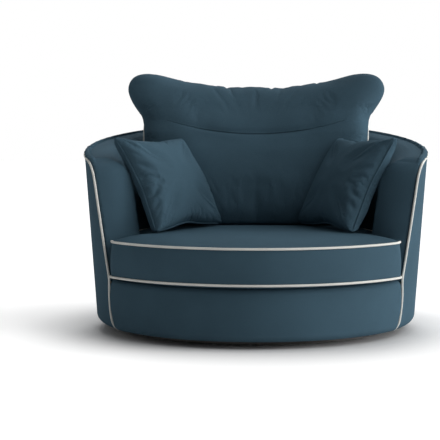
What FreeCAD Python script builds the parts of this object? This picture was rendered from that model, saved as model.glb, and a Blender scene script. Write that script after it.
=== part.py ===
"""Wide swivel armchair: a round tub of timber, board and foam on a ball-bearing turntable.

Millimetres. The origin is on the floor at the swivel axis, +Z is up and the chair faces -Y.
Each function below makes one piece, or one group of like pieces, and the last section writes them out.
"""

import FreeCAD
import Part
import math
import os
from FreeCAD import Matrix, Placement, Vector

# Clearances
fit_gap = 0.3  # between curved pieces that lie against each other
hole_gap = 0.1  # round a screw or a nail
overrun = 40.0  # how far a cutting solid runs past the piece it cuts

# Outer form of the tub, over its cover
tub_foot_radius = 587.0
tub_foot_height = 25.0
tub_rim_radius = 633.0
rim_height = 660.0  # beside the swivel axis
rim_rise = 80.0  # from beside the axis to the middle of the back
wall_thickness = 150.0

# Arm fronts: two faces that run outwards from the axis and lean back
arm_face_angle = 63.5  # degrees from straight ahead
arm_face_lead = 43.0  # how far the faces' line passes in front of the axis at deck height
arm_face_lean = 110.0  # from deck height to rim height
arm_corner_radius = 90.0
arm_facing_thickness = 28.0

# Upholstery layers of the wall
cover_thickness = 6.0
cover_foot_radius = 38.0
cover_return = 45.0  # under the tub's foot
return_thickness = 8.0  # with the wadding under it
rim_padding = 28.0  # foam over the rim rail
rim_crown = 5.0
rim_crown_run = 46.0
rim_shoulder_share = 0.78  # of the crown, halfway up its run
roll_drop = 96.0  # height of the rounded inner edge of the rim
pad_split_angle = 108.0  # degrees from straight ahead, where arm pads meet the back pad
pad_station_step = 9.0  # degrees between the pad's sections
bend_steps = 3  # flats that each rolled foot or lip is drawn with
body_piping_size = 7.0

# Timber and board frame
ply_thickness = 18.0
board_thickness = 3.0
post_depth = 30.0
post_width = 45.0
post_angles = (84.0, 108.0, 132.0, 156.0)  # degrees from straight ahead, and mirrored
base_hoop_play = 5.8  # inside the cover
base_hoop_width = 90.0
base_hoop_bevel = 30.0  # so that the cover turns under it softly
apron_thickness = 12.0
seat_hoop_height = 180.0
seat_hoop_ledge = 24.0  # inside the wall's pad, for the springs' clips
rail_width = 60.0
rail_height = 40.0
rail_spacing = 240.0
rail_length = 1010.0
rail_screw_length = 45.0
rail_screw_inset = 18.0  # from the rail's end

# Seat suspension
wire_size = 4.0
spring_spacing = 120.0
spring_pairs = 2
spring_width = 50.0
spring_pitch = 40.0  # one bar to the next
spring_bend = 10.0  # how far each bend is cut across its corner
clip_thickness = 1.5
clip_width = 30.0
clip_length = 10.0
felt_thickness = 5.0
felt_set_in = 12.0
platform_thickness = 2.0
platform_lap = 16.0  # over the seat hoop

# Padded front below the seat
front_set_in = 3.0  # behind the piping's line
front_foot_radius = 26.0
front_lip_radius = 20.0
front_lip_lap = 22.0  # over the seat hoop's inner edge

# Plinth on the floor
glide_radius = 15.0
glide_height = 6.0
glide_chamfer = 2.0
glide_count = 6
plinth_radius = 485.0
plinth_width = 60.0
plinth_thickness = 24.0
beam_width = 90.0
beam_tongue = 42.0  # how far a beam's end is housed in the ring

# Turntable: two pressed steel races, a cage and its balls
race_bore_radius = 112.0
race_thickness = 3.0
ball_circle_radius = 163.0
ball_radius = 5.0
ball_count = 8
ball_clearance = 0.05
groove_flat_share = 0.5  # of the ball's radius, the width of a groove's floor
race_gap = 8.0  # between the two races' flat faces
cage_thickness = 2.4
cage_width = 26.0
lip_width = 13.0  # the lower race's raised lip
lip_joggle = 6.0  # run of the slope up to it
hem_play = 0.6
hem_thickness = 2.4
hem_radius = 203.0
hem_width = 13.0
screw_circle_radius = 135.0
screw_radius = 3.0
screw_length = 18.0
screw_head_radius = 6.0
screw_head_height = 2.5
screw_count = 4
dust_cover_thickness = 1.0
dust_cover_play = 7.0  # round the turntable

# Seat cushion: a foam block in a boxed, piped cover
cushion_front_radius = 618.0
cushion_play = 10.6  # from the arm faces and the wall's inner face
cushion_tip_radius = 88.0  # at the upper seam
cushion_low_tip_radius = 48.0  # at the lower seam
cushion_nook_radius = 10.0
cushion_edge_rise = 14.0  # lower seam above the deck
cushion_boxing = 124.0
cushion_crown = 34.0
cushion_bulge = 5.0
cushion_heart = 60.0  # in front of the axis, where the crown is highest
crown_shares = ((0.62, 1.0), (0.84, 0.74), (0.96, 0.34), (1.0, 0.0))  # reach, rise
boxing_shares = ((1.0, 0.0), (0.67, 0.9), (0.33, 0.9), (0.0, 0.0))  # rise, bulge
belly_shares = ((1.0, 0.0), (0.93, 1.0))  # reach, fall
foam_set_in = 8.0  # from the seams
cushion_piping_size = 7.0
cushion_piping_gap = 1.3

# Back cushion: a fibre-filled pillow with a rolled head and two ears, in shares of the tub's inner radius
back_reach_share = 1.0145
back_head_rise = 240.0  # above the rim's height beside the axis
back_ear_rise = 46.0
back_crease_share = 0.646
back_level_shares = (0.0, 0.25, back_crease_share, 0.82, 1.0)  # of the height
back_spine_shares = (0.3561, 0.4058, 0.6273, 0.6957, 0.7391)
back_half_shares = (0.2526, 0.3313, 0.3064, 0.3023, 0.0)
back_bow_shares = (0.033, 0.127, 0.3141, 0.2566, 0.2173)  # how far the ends come forward of the middle
back_station_shares = (0.0, 0.20, 0.38, 0.54, 0.68, 0.78, 0.85, 0.90, 0.95, 0.99)
back_lift_shares = (0.0, 0.0, 0.0, 0.0, 0.0, 0.0, 0.0, 0.76, 0.82, 0.90)
back_ear_shares = (0.0, 0.0, 0.04, 0.17, 0.45, 0.80, 1.0, 0.98, 0.70, 0.15)
back_full_shares = (1.0, 0.98, 0.94, 0.84, 0.70, 0.52, 0.305, 0.285, 0.24, 0.11)
back_tuck_shares = (1.0, 0.97, 0.80, 0.55, 0.50, 0.49, 0.50, 1.0, 1.0, 1.0)  # belly, by the pillows

# Scatter cushions: square pillows with drawn-in sides, whose size is a share of the tub's inner radius
scatter_size_share = 0.7702
scatter_depth_share = 0.344  # of its size
scatter_pinch_share = 0.0403  # of its size
scatter_rise_share = 0.4403  # of its size, from the seat's top to its middle
scatter_shares = ((1.0, 0.0), (0.9, 0.5), (0.66, 0.88), (0.32, 1.0))  # size, depth
scatter_place_shares = (-0.65, -0.147)  # of the tub's inner radius, the middle of the left one
scatter_across_share = Vector(0.60, 0.80, 0.02)
scatter_up_share = Vector(-0.42, 0.24, 0.875)

# Heights, radii and slopes worked out from the sizes above
plinth_top = glide_height + plinth_thickness
race_top = plinth_top + race_thickness
ball_height = race_top + race_gap / 2
turntable_top = race_top + race_gap + race_thickness
base_hoop_low = tub_foot_height + return_thickness
base_hoop_top = base_hoop_low + ply_thickness
seat_hoop_top = seat_hoop_height + ply_thickness
wire_low = seat_hoop_top + clip_thickness
felt_low = wire_low + wire_size
platform_low = felt_low + felt_thickness
deck_height = platform_low + platform_thickness
flare = (tub_rim_radius - tub_foot_radius) / (rim_height - tub_foot_height)
rim_slope = rim_rise / tub_rim_radius
arm_slope = arm_face_lean / (rim_height - deck_height)
reach = 2 * tub_rim_radius
seat_well_radius = tub_foot_radius + flare * (seat_hoop_top - tub_foot_height) - wall_thickness
tub_inner_radius = tub_rim_radius - wall_thickness
board_depth = cover_thickness + fit_gap
frame_depth = board_depth + board_thickness + fit_gap
inner_board_depth = frame_depth + post_depth + fit_gap
frame_back_depth = inner_board_depth + board_thickness + fit_gap
seat_hoop_bore_radius = seat_well_radius - seat_hoop_ledge
base_hoop_radius = tub_foot_radius + flare * (base_hoop_top - tub_foot_height) - cover_thickness - base_hoop_play
seat_hoop_flare = min(flare * (level - tub_foot_height) for level in (seat_hoop_height, seat_hoop_top))
seat_hoop_radius = tub_foot_radius + seat_hoop_flare - inner_board_depth
seam_low = deck_height + cushion_edge_rise
seam_high = seam_low + cushion_boxing
seat_top = seam_high + cushion_crown
back_reach = back_reach_share * tub_inner_radius
back_top_height = rim_height + back_head_rise
scatter_size = scatter_size_share * tub_inner_radius


def wall_radius(height, depth=0.0):
    """Radius of the tub at a height, a depth inside its outer face."""
    return tub_foot_radius + flare * (height - tub_foot_height) - depth


def rim_level(y):
    """Height of the rim's sloping plane at y."""
    return rim_height + rim_slope * y


def around(radius, angle, height=0.0):
    """The point at a radius and an angle from straight ahead, turning towards +X."""
    a = math.radians(angle)
    return Vector(radius * math.sin(a), -radius * math.cos(a), height)


def wire_of(curves):
    """One wire from curves in order."""
    return Part.Wire([curve.toShape() for curve in curves])


def line(a, b):
    """A straight edge."""
    return Part.LineSegment(a, b)


def arc(a, through, b):
    """A round edge through three points."""
    return Part.Arc(a, through, b)


def ring(points):
    """A full turn about the axis of an outline of (radius, height) corners."""
    corners = [Vector(r, 0, z) for r, z in points]
    face = Part.Face(Part.makePolygon(corners + corners[:1]))
    return face.revolve(Vector(0, 0, 0), Vector(0, 0, 1), 360)


def flat_ring(inner, outer, low, high):
    """A washer between two heights."""
    return ring([(inner, low), (outer, low), (outer, high), (inner, high)])


def wall_ring(near, far, low, high):
    """A flared ring between two depths inside the tub's outer face."""
    return ring([
        (wall_radius(low, far), low),
        (wall_radius(low, near), low),
        (wall_radius(high, near), high),
        (wall_radius(high, far), high),
    ])


def block(low, high):
    """A box between two opposite corners."""
    size = high - low
    return Part.makeBox(size.x, size.y, size.z, low)


def rod(radius, foot, along, length):
    """A cylinder from a foot point."""
    return Part.makeCylinder(radius, length, foot, along)


def mirrored(shape):
    """The same shape on the chair's other side."""
    return shape.mirror(Vector(0, 0, 0), Vector(1, 0, 0))


def group(shapes):
    """Several solids as one compound."""
    return Part.makeCompound([s for shape in shapes for s in shape.Solids])


def under_rim(drop):
    """Everything below the rim's sloping plane, lowered by a drop."""
    corners = [
        Vector(-reach, -reach, -overrun),
        Vector(-reach, reach, -overrun),
        Vector(-reach, reach, rim_level(reach) - drop),
        Vector(-reach, -reach, rim_level(-reach) - drop),
    ]
    return Part.Face(Part.makePolygon(corners + corners[:1])).extrude(Vector(2 * reach, 0, 0))


def behind_arms(set_back, drop=0.0):
    """Everything under the rim and behind the arm faces set back by a distance, with rounded corners."""
    angle = math.radians(arm_face_angle)
    root = -arm_face_lead + set_back / math.sin(angle)
    far_end = (reach * math.sin(angle), root - reach * math.cos(angle))
    plan = [(0, root), far_end, (reach, reach), (0, reach)]
    low, high = -overrun, rim_level(reach) + overrun
    sole = [Vector(x, y, low) for x, y in plan]
    deck = [Vector(x, y, deck_height) for x, y in plan]
    shin = Part.Face(Part.makePolygon(sole + sole[:1])).extrude(Vector(0, 0, deck_height - low))
    rise = high - deck_height
    arm = Part.Face(Part.makePolygon(deck + deck[:1])).extrude(Vector(0, arm_slope * rise, rise))
    half = shin.fuse(arm.common(under_rim(drop))).removeSplitter()
    on_rim = [e for e in half.Edges if all(abs(v.Z - rim_level(v.Y) + drop) < fit_gap for v in e.Vertexes)]
    front = min(on_rim, key=lambda e: e.CenterOfMass.y)
    half = half.makeFillet(arm_corner_radius - set_back, [front])
    return half.fuse(mirrored(half)).removeSplitter()


def sector(start, end):
    """A tall wedge about the axis between two angles from straight ahead."""
    steps = 4
    angles = [start + (end - start) * i / steps for i in range(steps + 1)]
    corners = [Vector(0, 0, -overrun)] + [around(2 * reach, a, -overrun) for a in angles]
    return Part.Face(Part.makePolygon(corners + corners[:1])).extrude(Vector(0, 0, 2 * reach))


def wall_section(angle):
    """The padded wall's outline at an angle, with a crowned top and a rolled inner edge."""
    c = math.cos(math.radians(angle))
    top = (rim_height - rim_slope * c * wall_radius(0, cover_thickness)) / (1 + rim_slope * flare * c)
    low = seat_hoop_top
    outer_depth = cover_thickness + fit_gap
    outer_low = around(wall_radius(low, outer_depth), angle, low)
    outer_top = around(wall_radius(top, outer_depth), angle, top)
    crest_radius = wall_radius(top, outer_depth) - rim_crown_run
    crest = around(crest_radius, angle, top + rim_crown)
    shoulder = around(crest_radius + rim_crown_run / 2, angle, top + rim_shoulder_share * rim_crown)
    inner_top = top - roll_drop
    inner_radius = wall_radius(inner_top, wall_thickness)
    quarter = math.sin(math.radians(45))
    roll_level = inner_top + quarter * (roll_drop + rim_crown)
    roll = around(crest_radius - quarter * (crest_radius - inner_radius), angle, roll_level)
    inner = around(inner_radius, angle, inner_top)
    inner_low = around(wall_radius(low, wall_thickness), angle, low)
    return wire_of([
        line(outer_low, outer_top),
        arc(outer_top, shoulder, crest),
        arc(crest, roll, inner),
        line(inner, inner_low),
        line(inner_low, outer_low),
    ])


def padded_wall():
    """The whole upholstered wall as one solid, past both arm fronts."""
    first = arm_face_angle - pad_station_step
    count = round((360 - 2 * first) / pad_station_step)
    angles = [first + (360 - 2 * first) * i / count for i in range(count + 1)]
    return Part.makeLoft([wall_section(a) for a in angles], True, True)


def frame_space(set_back):
    """The room that the timber and board frame takes inside the wall."""
    room = wall_ring(-overrun, frame_back_depth, -overrun, 2 * rim_height)
    return room.common(behind_arms(set_back, rim_padding))


def wall_pads():
    """Foam pads of the two arms and the back, folded over the rim rail."""
    pads = padded_wall().common(behind_arms(arm_facing_thickness + fit_gap))
    pads = pads.cut(frame_space(arm_facing_thickness))
    back = pads.common(sector(pad_split_angle, 360 - pad_split_angle))
    right = pads.common(sector(0, pad_split_angle))
    return right, back, mirrored(right)


def arm_facings():
    """Foam facings over the front ends of the arms."""
    facing = padded_wall().common(behind_arms(0)).cut(behind_arms(arm_facing_thickness))
    right = facing.common(sector(0, pad_split_angle))
    return right, mirrored(right)


def bend_points(centre, across, upward, start, end):
    """Corners (radius, height) of a bend of two half-sizes between two angles, zero being outwards."""
    turns = [math.radians(start + (end - start) * i / bend_steps) for i in range(bend_steps + 1)]
    return [(centre[0] + across * math.cos(t), centre[1] + upward * math.sin(t)) for t in turns]


def outer_cover():
    """Fabric and wadding round the outside, turned in under the foot."""
    bend = tub_foot_height + cover_foot_radius
    foot = tub_foot_radius - cover_foot_radius
    top = rim_level(reach)
    edge = tub_foot_radius - cover_return
    rise = cover_foot_radius - return_thickness
    outside = bend_points((foot, bend), wall_radius(bend) - foot, cover_foot_radius, -90, 0)
    inside = bend_points((foot, bend), wall_radius(bend, cover_thickness) - foot, rise, 0, -90)
    skin = [(edge, tub_foot_height)] + outside
    skin += [(wall_radius(top), top), (wall_radius(top, cover_thickness), top)]
    skin += inside + [(edge, tub_foot_height + return_thickness)]
    return ring(skin).common(behind_arms(0))


def screw(seat, along, length):
    """A hexagon-headed screw whose head lies on a seat and whose shank runs along a direction."""
    corners = [seat + around(screw_head_radius, 60 * i) for i in range(6)]
    head = Part.Face(Part.makePolygon(corners + corners[:1])).extrude(along * -screw_head_height)
    return head.fuse(rod(screw_radius, seat, along, length))


def screw_room(seat, along, length):
    """The hole and the head's pocket that a screw needs."""
    head = rod(screw_head_radius + hole_gap, seat - along * overrun, along, overrun)
    return head.fuse(rod(screw_radius + hole_gap, seat, along, length + hole_gap))


def slab(near, far, low, high, shape):
    """A flared ring of the wall between two depths and two heights, within another shape."""
    return wall_ring(near, far, low, high).common(shape)


def plank(width, start, end, low, high, angle):
    """A straight board that runs outwards along an angle."""
    board = block(Vector(start, -width / 2, low), Vector(end, width / 2, high))
    return board.rotate(Vector(0, 0, 0), Vector(0, 0, 1), angle - 90)


up = Vector(0, 0, 1)
down = Vector(0, 0, -1)
glide_angles = [360 / glide_count * i for i in range(glide_count)]
glide_circle = plinth_radius - plinth_width / 2
tongue_low = glide_height + plinth_thickness / 2
tongue_reach = plinth_radius - plinth_width + beam_tongue
beam_seats = [around(glide_circle, 90 * i, plinth_top - screw_head_height) for i in range(4)]
race_seats = [around(screw_circle_radius, 360 / screw_count * i, race_top) for i in range(screw_count)]
rail_offset = rail_spacing / 2
bolt_offset = math.sqrt(screw_circle_radius ** 2 - rail_offset ** 2)
bolt_seats = [
    Vector(x, y, turntable_top - race_thickness)
    for x in (-rail_offset, rail_offset)
    for y in (-bolt_offset, bolt_offset)
]
rail_screw_seats = [
    Vector(x, y, turntable_top + rail_height - screw_head_height)
    for x in (-rail_offset, rail_offset)
    for y in (rail_screw_inset - rail_length / 2, rail_length / 2 - rail_screw_inset)
]


def floor_glides():
    """Low plastic glides with a bevelled edge."""
    glide = ring([
        (0, 0),
        (glide_radius - glide_chamfer, 0),
        (glide_radius, glide_chamfer),
        (glide_radius, glide_height),
        (0, glide_height),
    ])
    return group([glide.translated(around(glide_circle, a)) for a in glide_angles])


def plinth_beams():
    """Two crossed beams, halved over each other, with half-thickness tongues at their ends."""
    half = beam_width / 2
    shoulder = math.sqrt((plinth_radius - plinth_width) ** 2 - half ** 2) - fit_gap
    beams = []
    for angle, lap_low, lap_high in ((90, glide_height, tongue_low), (0, tongue_low, plinth_top)):
        beam = block(Vector(-shoulder, -half, glide_height), Vector(shoulder, half, plinth_top))
        tongue = block(Vector(-tongue_reach, -half, tongue_low), Vector(tongue_reach, half, plinth_top))
        lap = block(Vector(-half, -half, lap_low), Vector(half, half, lap_high))
        beam = beam.fuse(tongue).removeSplitter().cut(lap)
        beams.append(beam.rotate(Vector(0, 0, 0), up, angle - 90))
    holes = [screw_room(p, down, screw_length) for p in beam_seats + race_seats]
    return [beam.cut(holes) for beam in beams]


def plinth_ring():
    """The round timber ring on the floor glides, housed for the beams' tongues."""
    body = flat_ring(plinth_radius - plinth_width, plinth_radius, glide_height, plinth_top)
    housings = [
        plank(beam_width + 2 * fit_gap, 0, tongue_reach + fit_gap, tongue_low, plinth_top + overrun, 90 * i)
        for i in range(4)
    ]
    screws = [screw_room(p, down, screw_length) for p in beam_seats]
    return body.cut(housings + screws)


def ball_groove(face, deepening):
    """Corners of the track pressed into a race's flat face, clear of the balls."""
    floor = ball_height + math.copysign(ball_radius + ball_clearance, deepening)
    flat = ball_radius * groove_flat_share
    mouth = flat + abs(floor - face)
    return [
        (ball_circle_radius - mouth, face),
        (ball_circle_radius - flat, floor),
        (ball_circle_radius + flat, floor),
        (ball_circle_radius + mouth, face),
    ]


def lower_race():
    """The fixed race, with an outer lip raised so that the upper race hems under it."""
    lip_radius = hem_radius - hem_thickness - 2 * hem_play
    joggle = lip_radius - lip_width - lip_joggle
    rise = hem_thickness + 2 * hem_play
    race = ring([
        (race_bore_radius, plinth_top),
        (joggle, plinth_top),
        (joggle + lip_joggle, plinth_top + rise),
        (lip_radius, plinth_top + rise),
        (lip_radius, race_top + rise),
        (joggle + lip_joggle - hem_play, race_top + rise),
        (joggle - hem_play, race_top),
        *ball_groove(race_top, -1)[::-1],
        (race_bore_radius, race_top),
    ])
    return race.cut([screw_room(p, down, screw_length) for p in race_seats])


def upper_race():
    """The turning race, with a skirt hemmed in under the lower race's lip."""
    low = race_top + race_gap
    hem_low = plinth_top + hem_play
    race = ring([
        (race_bore_radius, low),
        *ball_groove(low, 1),
        (hem_radius - hem_thickness, low),
        (hem_radius - hem_thickness, hem_low + hem_thickness),
        (hem_radius - hem_width, hem_low + hem_thickness),
        (hem_radius - hem_width, hem_low),
        (hem_radius, hem_low),
        (hem_radius, turntable_top),
        (race_bore_radius, turntable_top),
    ])
    return race.cut([screw_room(p, up, screw_length) for p in bolt_seats])


def ball_places():
    """Where the balls run."""
    return [around(ball_circle_radius, 360 / ball_count * i, ball_height) for i in range(ball_count)]


def ball_cage():
    """A pierced ring that keeps the balls apart."""
    inner = ball_circle_radius - cage_width / 2
    low = ball_height - cage_thickness / 2
    body = flat_ring(inner, inner + cage_width, low, low + cage_thickness)
    pocket = ball_radius + ball_clearance
    return body.cut([rod(pocket, p - up * overrun, up, 2 * overrun) for p in ball_places()])


def bearing_balls():
    """The loose steel balls."""
    return group([Part.makeSphere(ball_radius, p) for p in ball_places()])


def base_hoop():
    """The plywood hoop under the wall, bevelled below and let into the cross rails."""
    bore = base_hoop_radius - base_hoop_width
    hoop = ring([
        (bore, base_hoop_low),
        (base_hoop_radius - base_hoop_bevel, base_hoop_low),
        (base_hoop_radius, base_hoop_top),
        (bore, base_hoop_top),
    ])
    return hoop.cut([screw_room(p, down, rail_screw_length) for p in rail_screw_seats])


def cross_rail():
    """The right-hand rail that joins the turntable to the hoop, notched over the hoop."""
    low = turntable_top
    rail = block(
        Vector(rail_offset - rail_width / 2, -rail_length / 2, low),
        Vector(rail_offset + rail_width / 2, rail_length / 2, low + rail_height),
    )
    notch = flat_ring(base_hoop_radius - base_hoop_width - fit_gap, reach, low - overrun, base_hoop_top)
    screws = [screw_room(p, up, screw_length) for p in bolt_seats]
    screws += [screw_room(p, down, rail_screw_length) for p in rail_screw_seats]
    return rail.cut([notch] + screws)


def arm_post():
    """The right arm's front post, with a rounded head that carries the rim rail on."""
    front = behind_arms(arm_facing_thickness, rim_padding)
    back = behind_arms(arm_facing_thickness + post_width, -overrun)
    post = slab(frame_depth, frame_depth + post_depth, base_hoop_top, reach, front).cut(back)
    return post.common(sector(0, pad_split_angle))


def wall_posts():
    """Posts between the base hoop and the rim rail, round the back."""
    under_rail = under_rim(rim_padding + ply_thickness)
    width = block(Vector(0, -post_width / 2, 0), Vector(reach, post_width / 2, reach))
    posts = []
    for angle in post_angles:
        post = slab(frame_depth, frame_depth + post_depth, base_hoop_top, reach, under_rail)
        post = post.common(width.rotated(Vector(0, 0, 0), up, angle - 90))
        posts += [post, mirrored(post)]
    return group(posts)


def rim_rail():
    """The plywood rail that follows the rim's slope from one arm post to the other."""
    room = behind_arms(arm_facing_thickness + post_width + fit_gap, -overrun)
    rail = slab(frame_depth, frame_depth + post_depth, deck_height, reach, under_rim(rim_padding))
    return rail.common(room).cut(under_rim(rim_padding + ply_thickness))


def outer_board():
    """Thin board bent round the outside of the posts."""
    room = behind_arms(arm_facing_thickness, rim_padding)
    low = tub_foot_height + cover_foot_radius
    return slab(board_depth, board_depth + board_thickness, low, reach, room)


def inner_board():
    """Thin board bent round the inside of the posts, above the seat hoop."""
    room = behind_arms(arm_facing_thickness, rim_padding)
    return slab(inner_board_depth, inner_board_depth + board_thickness, seat_hoop_top, reach, room)


def apron_board():
    """The curved board below the seat hoop, fixed to the arm posts."""
    back = inner_board_depth + apron_thickness
    board = wall_ring(inner_board_depth, back, base_hoop_top, seat_hoop_height)
    return board.cut(behind_arms(arm_facing_thickness + post_width))


def seat_hoop():
    """The plywood hoop that carries the springs."""
    return flat_ring(seat_hoop_bore_radius, seat_hoop_radius, seat_hoop_height, seat_hoop_top)


spring_lines = [spring_spacing * i for i in range(-spring_pairs, spring_pairs + 1)]


def spring_half_span(x):
    """Half the length of the spring that runs front to back at x."""
    return math.sqrt(seat_hoop_bore_radius ** 2 - x ** 2) + clip_length / 2


def zigzag_spring(x):
    """One flat zigzag spring of square-faced wire, its end bars held by the clips."""
    half = spring_half_span(x)
    count = round(2 * half / spring_pitch)
    pitch = 2 * half / count
    side = spring_width / 2
    level = wire_low + wire_size / 2
    points = []
    for i in range(count + 1):
        y = -half + i * pitch
        hand = 1 if i % 2 else -1
        points += [(x - hand * side, y, -hand), (x + hand * side, y, hand)]
    route = []
    for i, (px, py, hand) in enumerate(points):
        corner = Vector(px, py, level)
        if i in (0, len(points) - 1):
            route.append(corner)
        elif i % 2:
            route += [corner - Vector(hand * spring_bend, 0, 0), corner + Vector(0, spring_bend, 0)]
        else:
            route += [corner - Vector(0, spring_bend, 0), corner - Vector(hand * spring_bend, 0, 0)]
    start = route[0]
    edge = wire_size / 2
    profile = Part.makePolygon([
        start + Vector(0, a * edge, b * edge) for a, b in ((-1, -1), (1, -1), (1, 1), (-1, 1), (-1, -1))
    ])
    return Part.makePolygon(route).makePipeShell([profile], True, False, 1)


def seat_springs():
    """The row of zigzag springs under the seat."""
    return group([zigzag_spring(x) for x in spring_lines])


def spring_clips():
    """Bent steel clips that hold the springs' end bars on the hoop."""
    clips = []
    for x in spring_lines:
        bar = spring_half_span(x)
        room = wire_size / 2 + hole_gap
        back = clip_length / 2
        half = clip_width / 2
        low, high = seat_hoop_top, wire_low + wire_size + hole_gap + clip_thickness
        outer = block(Vector(x - half, bar - back, low), Vector(x + half, bar + back, high))
        inner = block(
            Vector(x - clip_width, bar - overrun, low + clip_thickness),
            Vector(x + clip_width, bar + room, high - clip_thickness),
        )
        clip = outer.cut(inner)
        clips += [clip, clip.mirror(Vector(0, 0, 0), Vector(0, 1, 0))]
    return group(clips)


def seat_felt():
    """The felt that keeps the springs from the cushion."""
    return Part.makeCylinder(seat_hoop_bore_radius - felt_set_in, felt_thickness, Vector(0, 0, felt_low))


def platform_cloth():
    """The deck cloth over the felt and the hoop's edge."""
    radius = seat_hoop_bore_radius + platform_lap
    return Part.makeCylinder(radius, platform_thickness, Vector(0, 0, platform_low))


def front_skin(depth, foot_low, top):
    """Corners of the padded front from foot to lip, at a depth inside its face."""
    bend = tub_foot_height + front_foot_radius
    foot = wall_radius(bend, front_set_in) - front_foot_radius
    lip = deck_height - front_lip_radius
    lip_centre = wall_radius(lip, front_set_in) - front_lip_radius
    foot_size = wall_radius(bend, front_set_in + depth) - foot
    lip_size = wall_radius(lip, front_set_in + depth) - lip_centre
    low_bend = bend_points((foot, bend), foot_size, bend - foot_low, -90, 0)
    high_bend = bend_points((lip_centre, lip), lip_size, top - lip, 0, 90)
    return low_bend, high_bend + [(seat_hoop_bore_radius + front_lip_lap, top)]


def between_arms():
    """What the front pieces are trimmed by, clear of the arms' piping."""
    return behind_arms(-body_piping_size / 2 - fit_gap)


def front_cover():
    """Fabric and wadding over the padded front, from under the foot to the deck."""
    edge = tub_foot_radius - cover_return
    inside_low = tub_foot_height + return_thickness
    outside = front_skin(0, tub_foot_height, deck_height)
    inside = front_skin(cover_thickness, inside_low, deck_height - cover_thickness)
    skin = [(edge, tub_foot_height)] + outside[0] + outside[1]
    skin += inside[1][::-1] + inside[0][::-1] + [(edge, inside_low)]
    return ring(skin).cut(between_arms())


def front_pad():
    """Foam in front of the apron board and over the hoop's front edge."""
    depth = cover_thickness + fit_gap
    low_bend, high_bend = front_skin(depth, base_hoop_low, deck_height - depth)
    face_low = low_bend[-1]
    back_depth = inner_board_depth - fit_gap
    inner = wall_radius(seat_hoop_height, back_depth)
    inner_low = (wall_radius(face_low[1], back_depth), face_low[1])
    back = [(high_bend[-1][0], seat_hoop_top), (inner, seat_hoop_top), (inner, seat_hoop_height), inner_low]
    return ring([face_low] + high_bend + back).cut(between_arms())


def body_piping():
    """One run of piping up an arm front, round the rim's outer edge and down the other arm."""
    half = body_piping_size / 2
    low = tub_foot_height + cover_foot_radius / 2
    bead = slab(-half, half, low, reach, behind_arms(-half, -half).cut(behind_arms(half, half)))
    return bead.cut(behind_arms(-fit_gap, -fit_gap).common(wall_ring(-fit_gap, cover_thickness, 0, reach)))


def dust_cover():
    """Cloth under the frame, round the turntable."""
    inner = hem_radius + dust_cover_play
    outer = tub_foot_radius - cover_return - fit_gap
    return flat_ring(inner, outer, base_hoop_low - dust_cover_thickness, base_hoop_low)


def face_point(lead, ahead, radius):
    """A point in plan at a distance ahead of the right arm's face line and a radius from the axis."""
    angle = math.radians(arm_face_angle)
    off = lead * math.sin(angle) + ahead
    along = math.sqrt(radius ** 2 - off ** 2)
    outwards = Vector(math.sin(angle), -math.cos(angle), 0)
    return outwards * along - Vector(math.cos(angle), math.sin(angle), 0) * off


def unit(vector):
    """A direction of length one."""
    return vector * (1 / vector.Length)


def seat_outline(offset, height, size_share=1.0, shape_height=None):
    """The seat cushion's outline at a height: front arc, two wings and the arc against the wall.

    The offset grows it, and a share below one draws it in towards the heart.
    """
    level = height if shape_height is None else shape_height
    angle = math.radians(arm_face_angle)
    lead = arm_face_lead - arm_slope * (level - deck_height)
    gap = cushion_play - offset
    front = cushion_front_radius + offset
    climb = (level - seam_low) / cushion_boxing
    tip = cushion_low_tip_radius + (cushion_tip_radius - cushion_low_tip_radius) * climb + offset
    back = wall_radius(level, wall_thickness) - gap
    nook = cushion_nook_radius - offset
    ahead = Vector(-math.cos(angle), -math.sin(angle), 0)
    tip_centre = face_point(lead, gap + tip, front - tip)
    nook_centre = face_point(lead, gap - nook, back + nook)
    outward = unit(tip_centre)
    inward = unit(nook_centre) * -1
    stops = [
        tip_centre + outward * tip,
        tip_centre + unit(outward - ahead) * tip,
        tip_centre - ahead * tip,
        nook_centre + ahead * nook,
        nook_centre + unit(ahead + inward) * nook,
        nook_centre + inward * nook,
    ]
    swing = math.degrees(math.atan2(stops[5].x, -stops[5].y))
    stops = [around(front, 0), unit(around(front, 0) + stops[0]) * front] + stops
    stops += [around(back, (180 + swing) / 2), around(back, 180)]
    heart = Vector(0, -cushion_heart, 0)
    right = [heart + (p - heart) * size_share + Vector(0, 0, height) for p in stops]
    left = [Vector(-p.x, p.y, p.z) for p in right]
    half = [
        arc(right[0], right[1], right[2]),
        arc(right[2], right[3], right[4]),
        line(right[4], right[5]),
        arc(right[5], right[6], right[7]),
        arc(right[7], right[8], right[9]),
    ]
    other = [
        arc(left[9], left[8], left[7]),
        arc(left[7], left[6], left[5]),
        line(left[5], left[4]),
        arc(left[4], left[3], left[2]),
        arc(left[2], left[1], left[0]),
    ]
    return wire_of(half + other)


def seat_cushion_form():
    """The seat cushion's closed form: belly, boxing that bulges between the seams, and crown."""
    fall = seam_low - deck_height - fit_gap
    under = [
        seat_outline(0, seam_low - fall * down_share, reach_share, seam_low)
        for reach_share, down_share in belly_shares
    ]
    side = [
        seat_outline(cushion_bulge * bulge_share, seam_low + cushion_boxing * up_share)
        for up_share, bulge_share in boxing_shares
    ]
    top = [
        seat_outline(0, seam_high + cushion_crown * up_share, reach_share, seam_high)
        for reach_share, up_share in crown_shares
    ]
    return Part.makeLoft(top[:-1] + side + under[1:], True, True)


def foam_block(play):
    """The foam block, cut square from a slab as thick as the boxing, with a play round it."""
    outline = seat_outline(play - foam_set_in, seam_low - play, 1.0, seam_low)
    return Part.Face(outline).extrude(Vector(0, 0, cushion_boxing + 2 * play))


def seat_cushion_foam():
    """The foam block inside the cover."""
    return foam_block(0)


def seat_cushion_cover():
    """The sewn cover, with the wadding that fills it out over the foam."""
    return seat_cushion_form().cut(foam_block(fit_gap))


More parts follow.
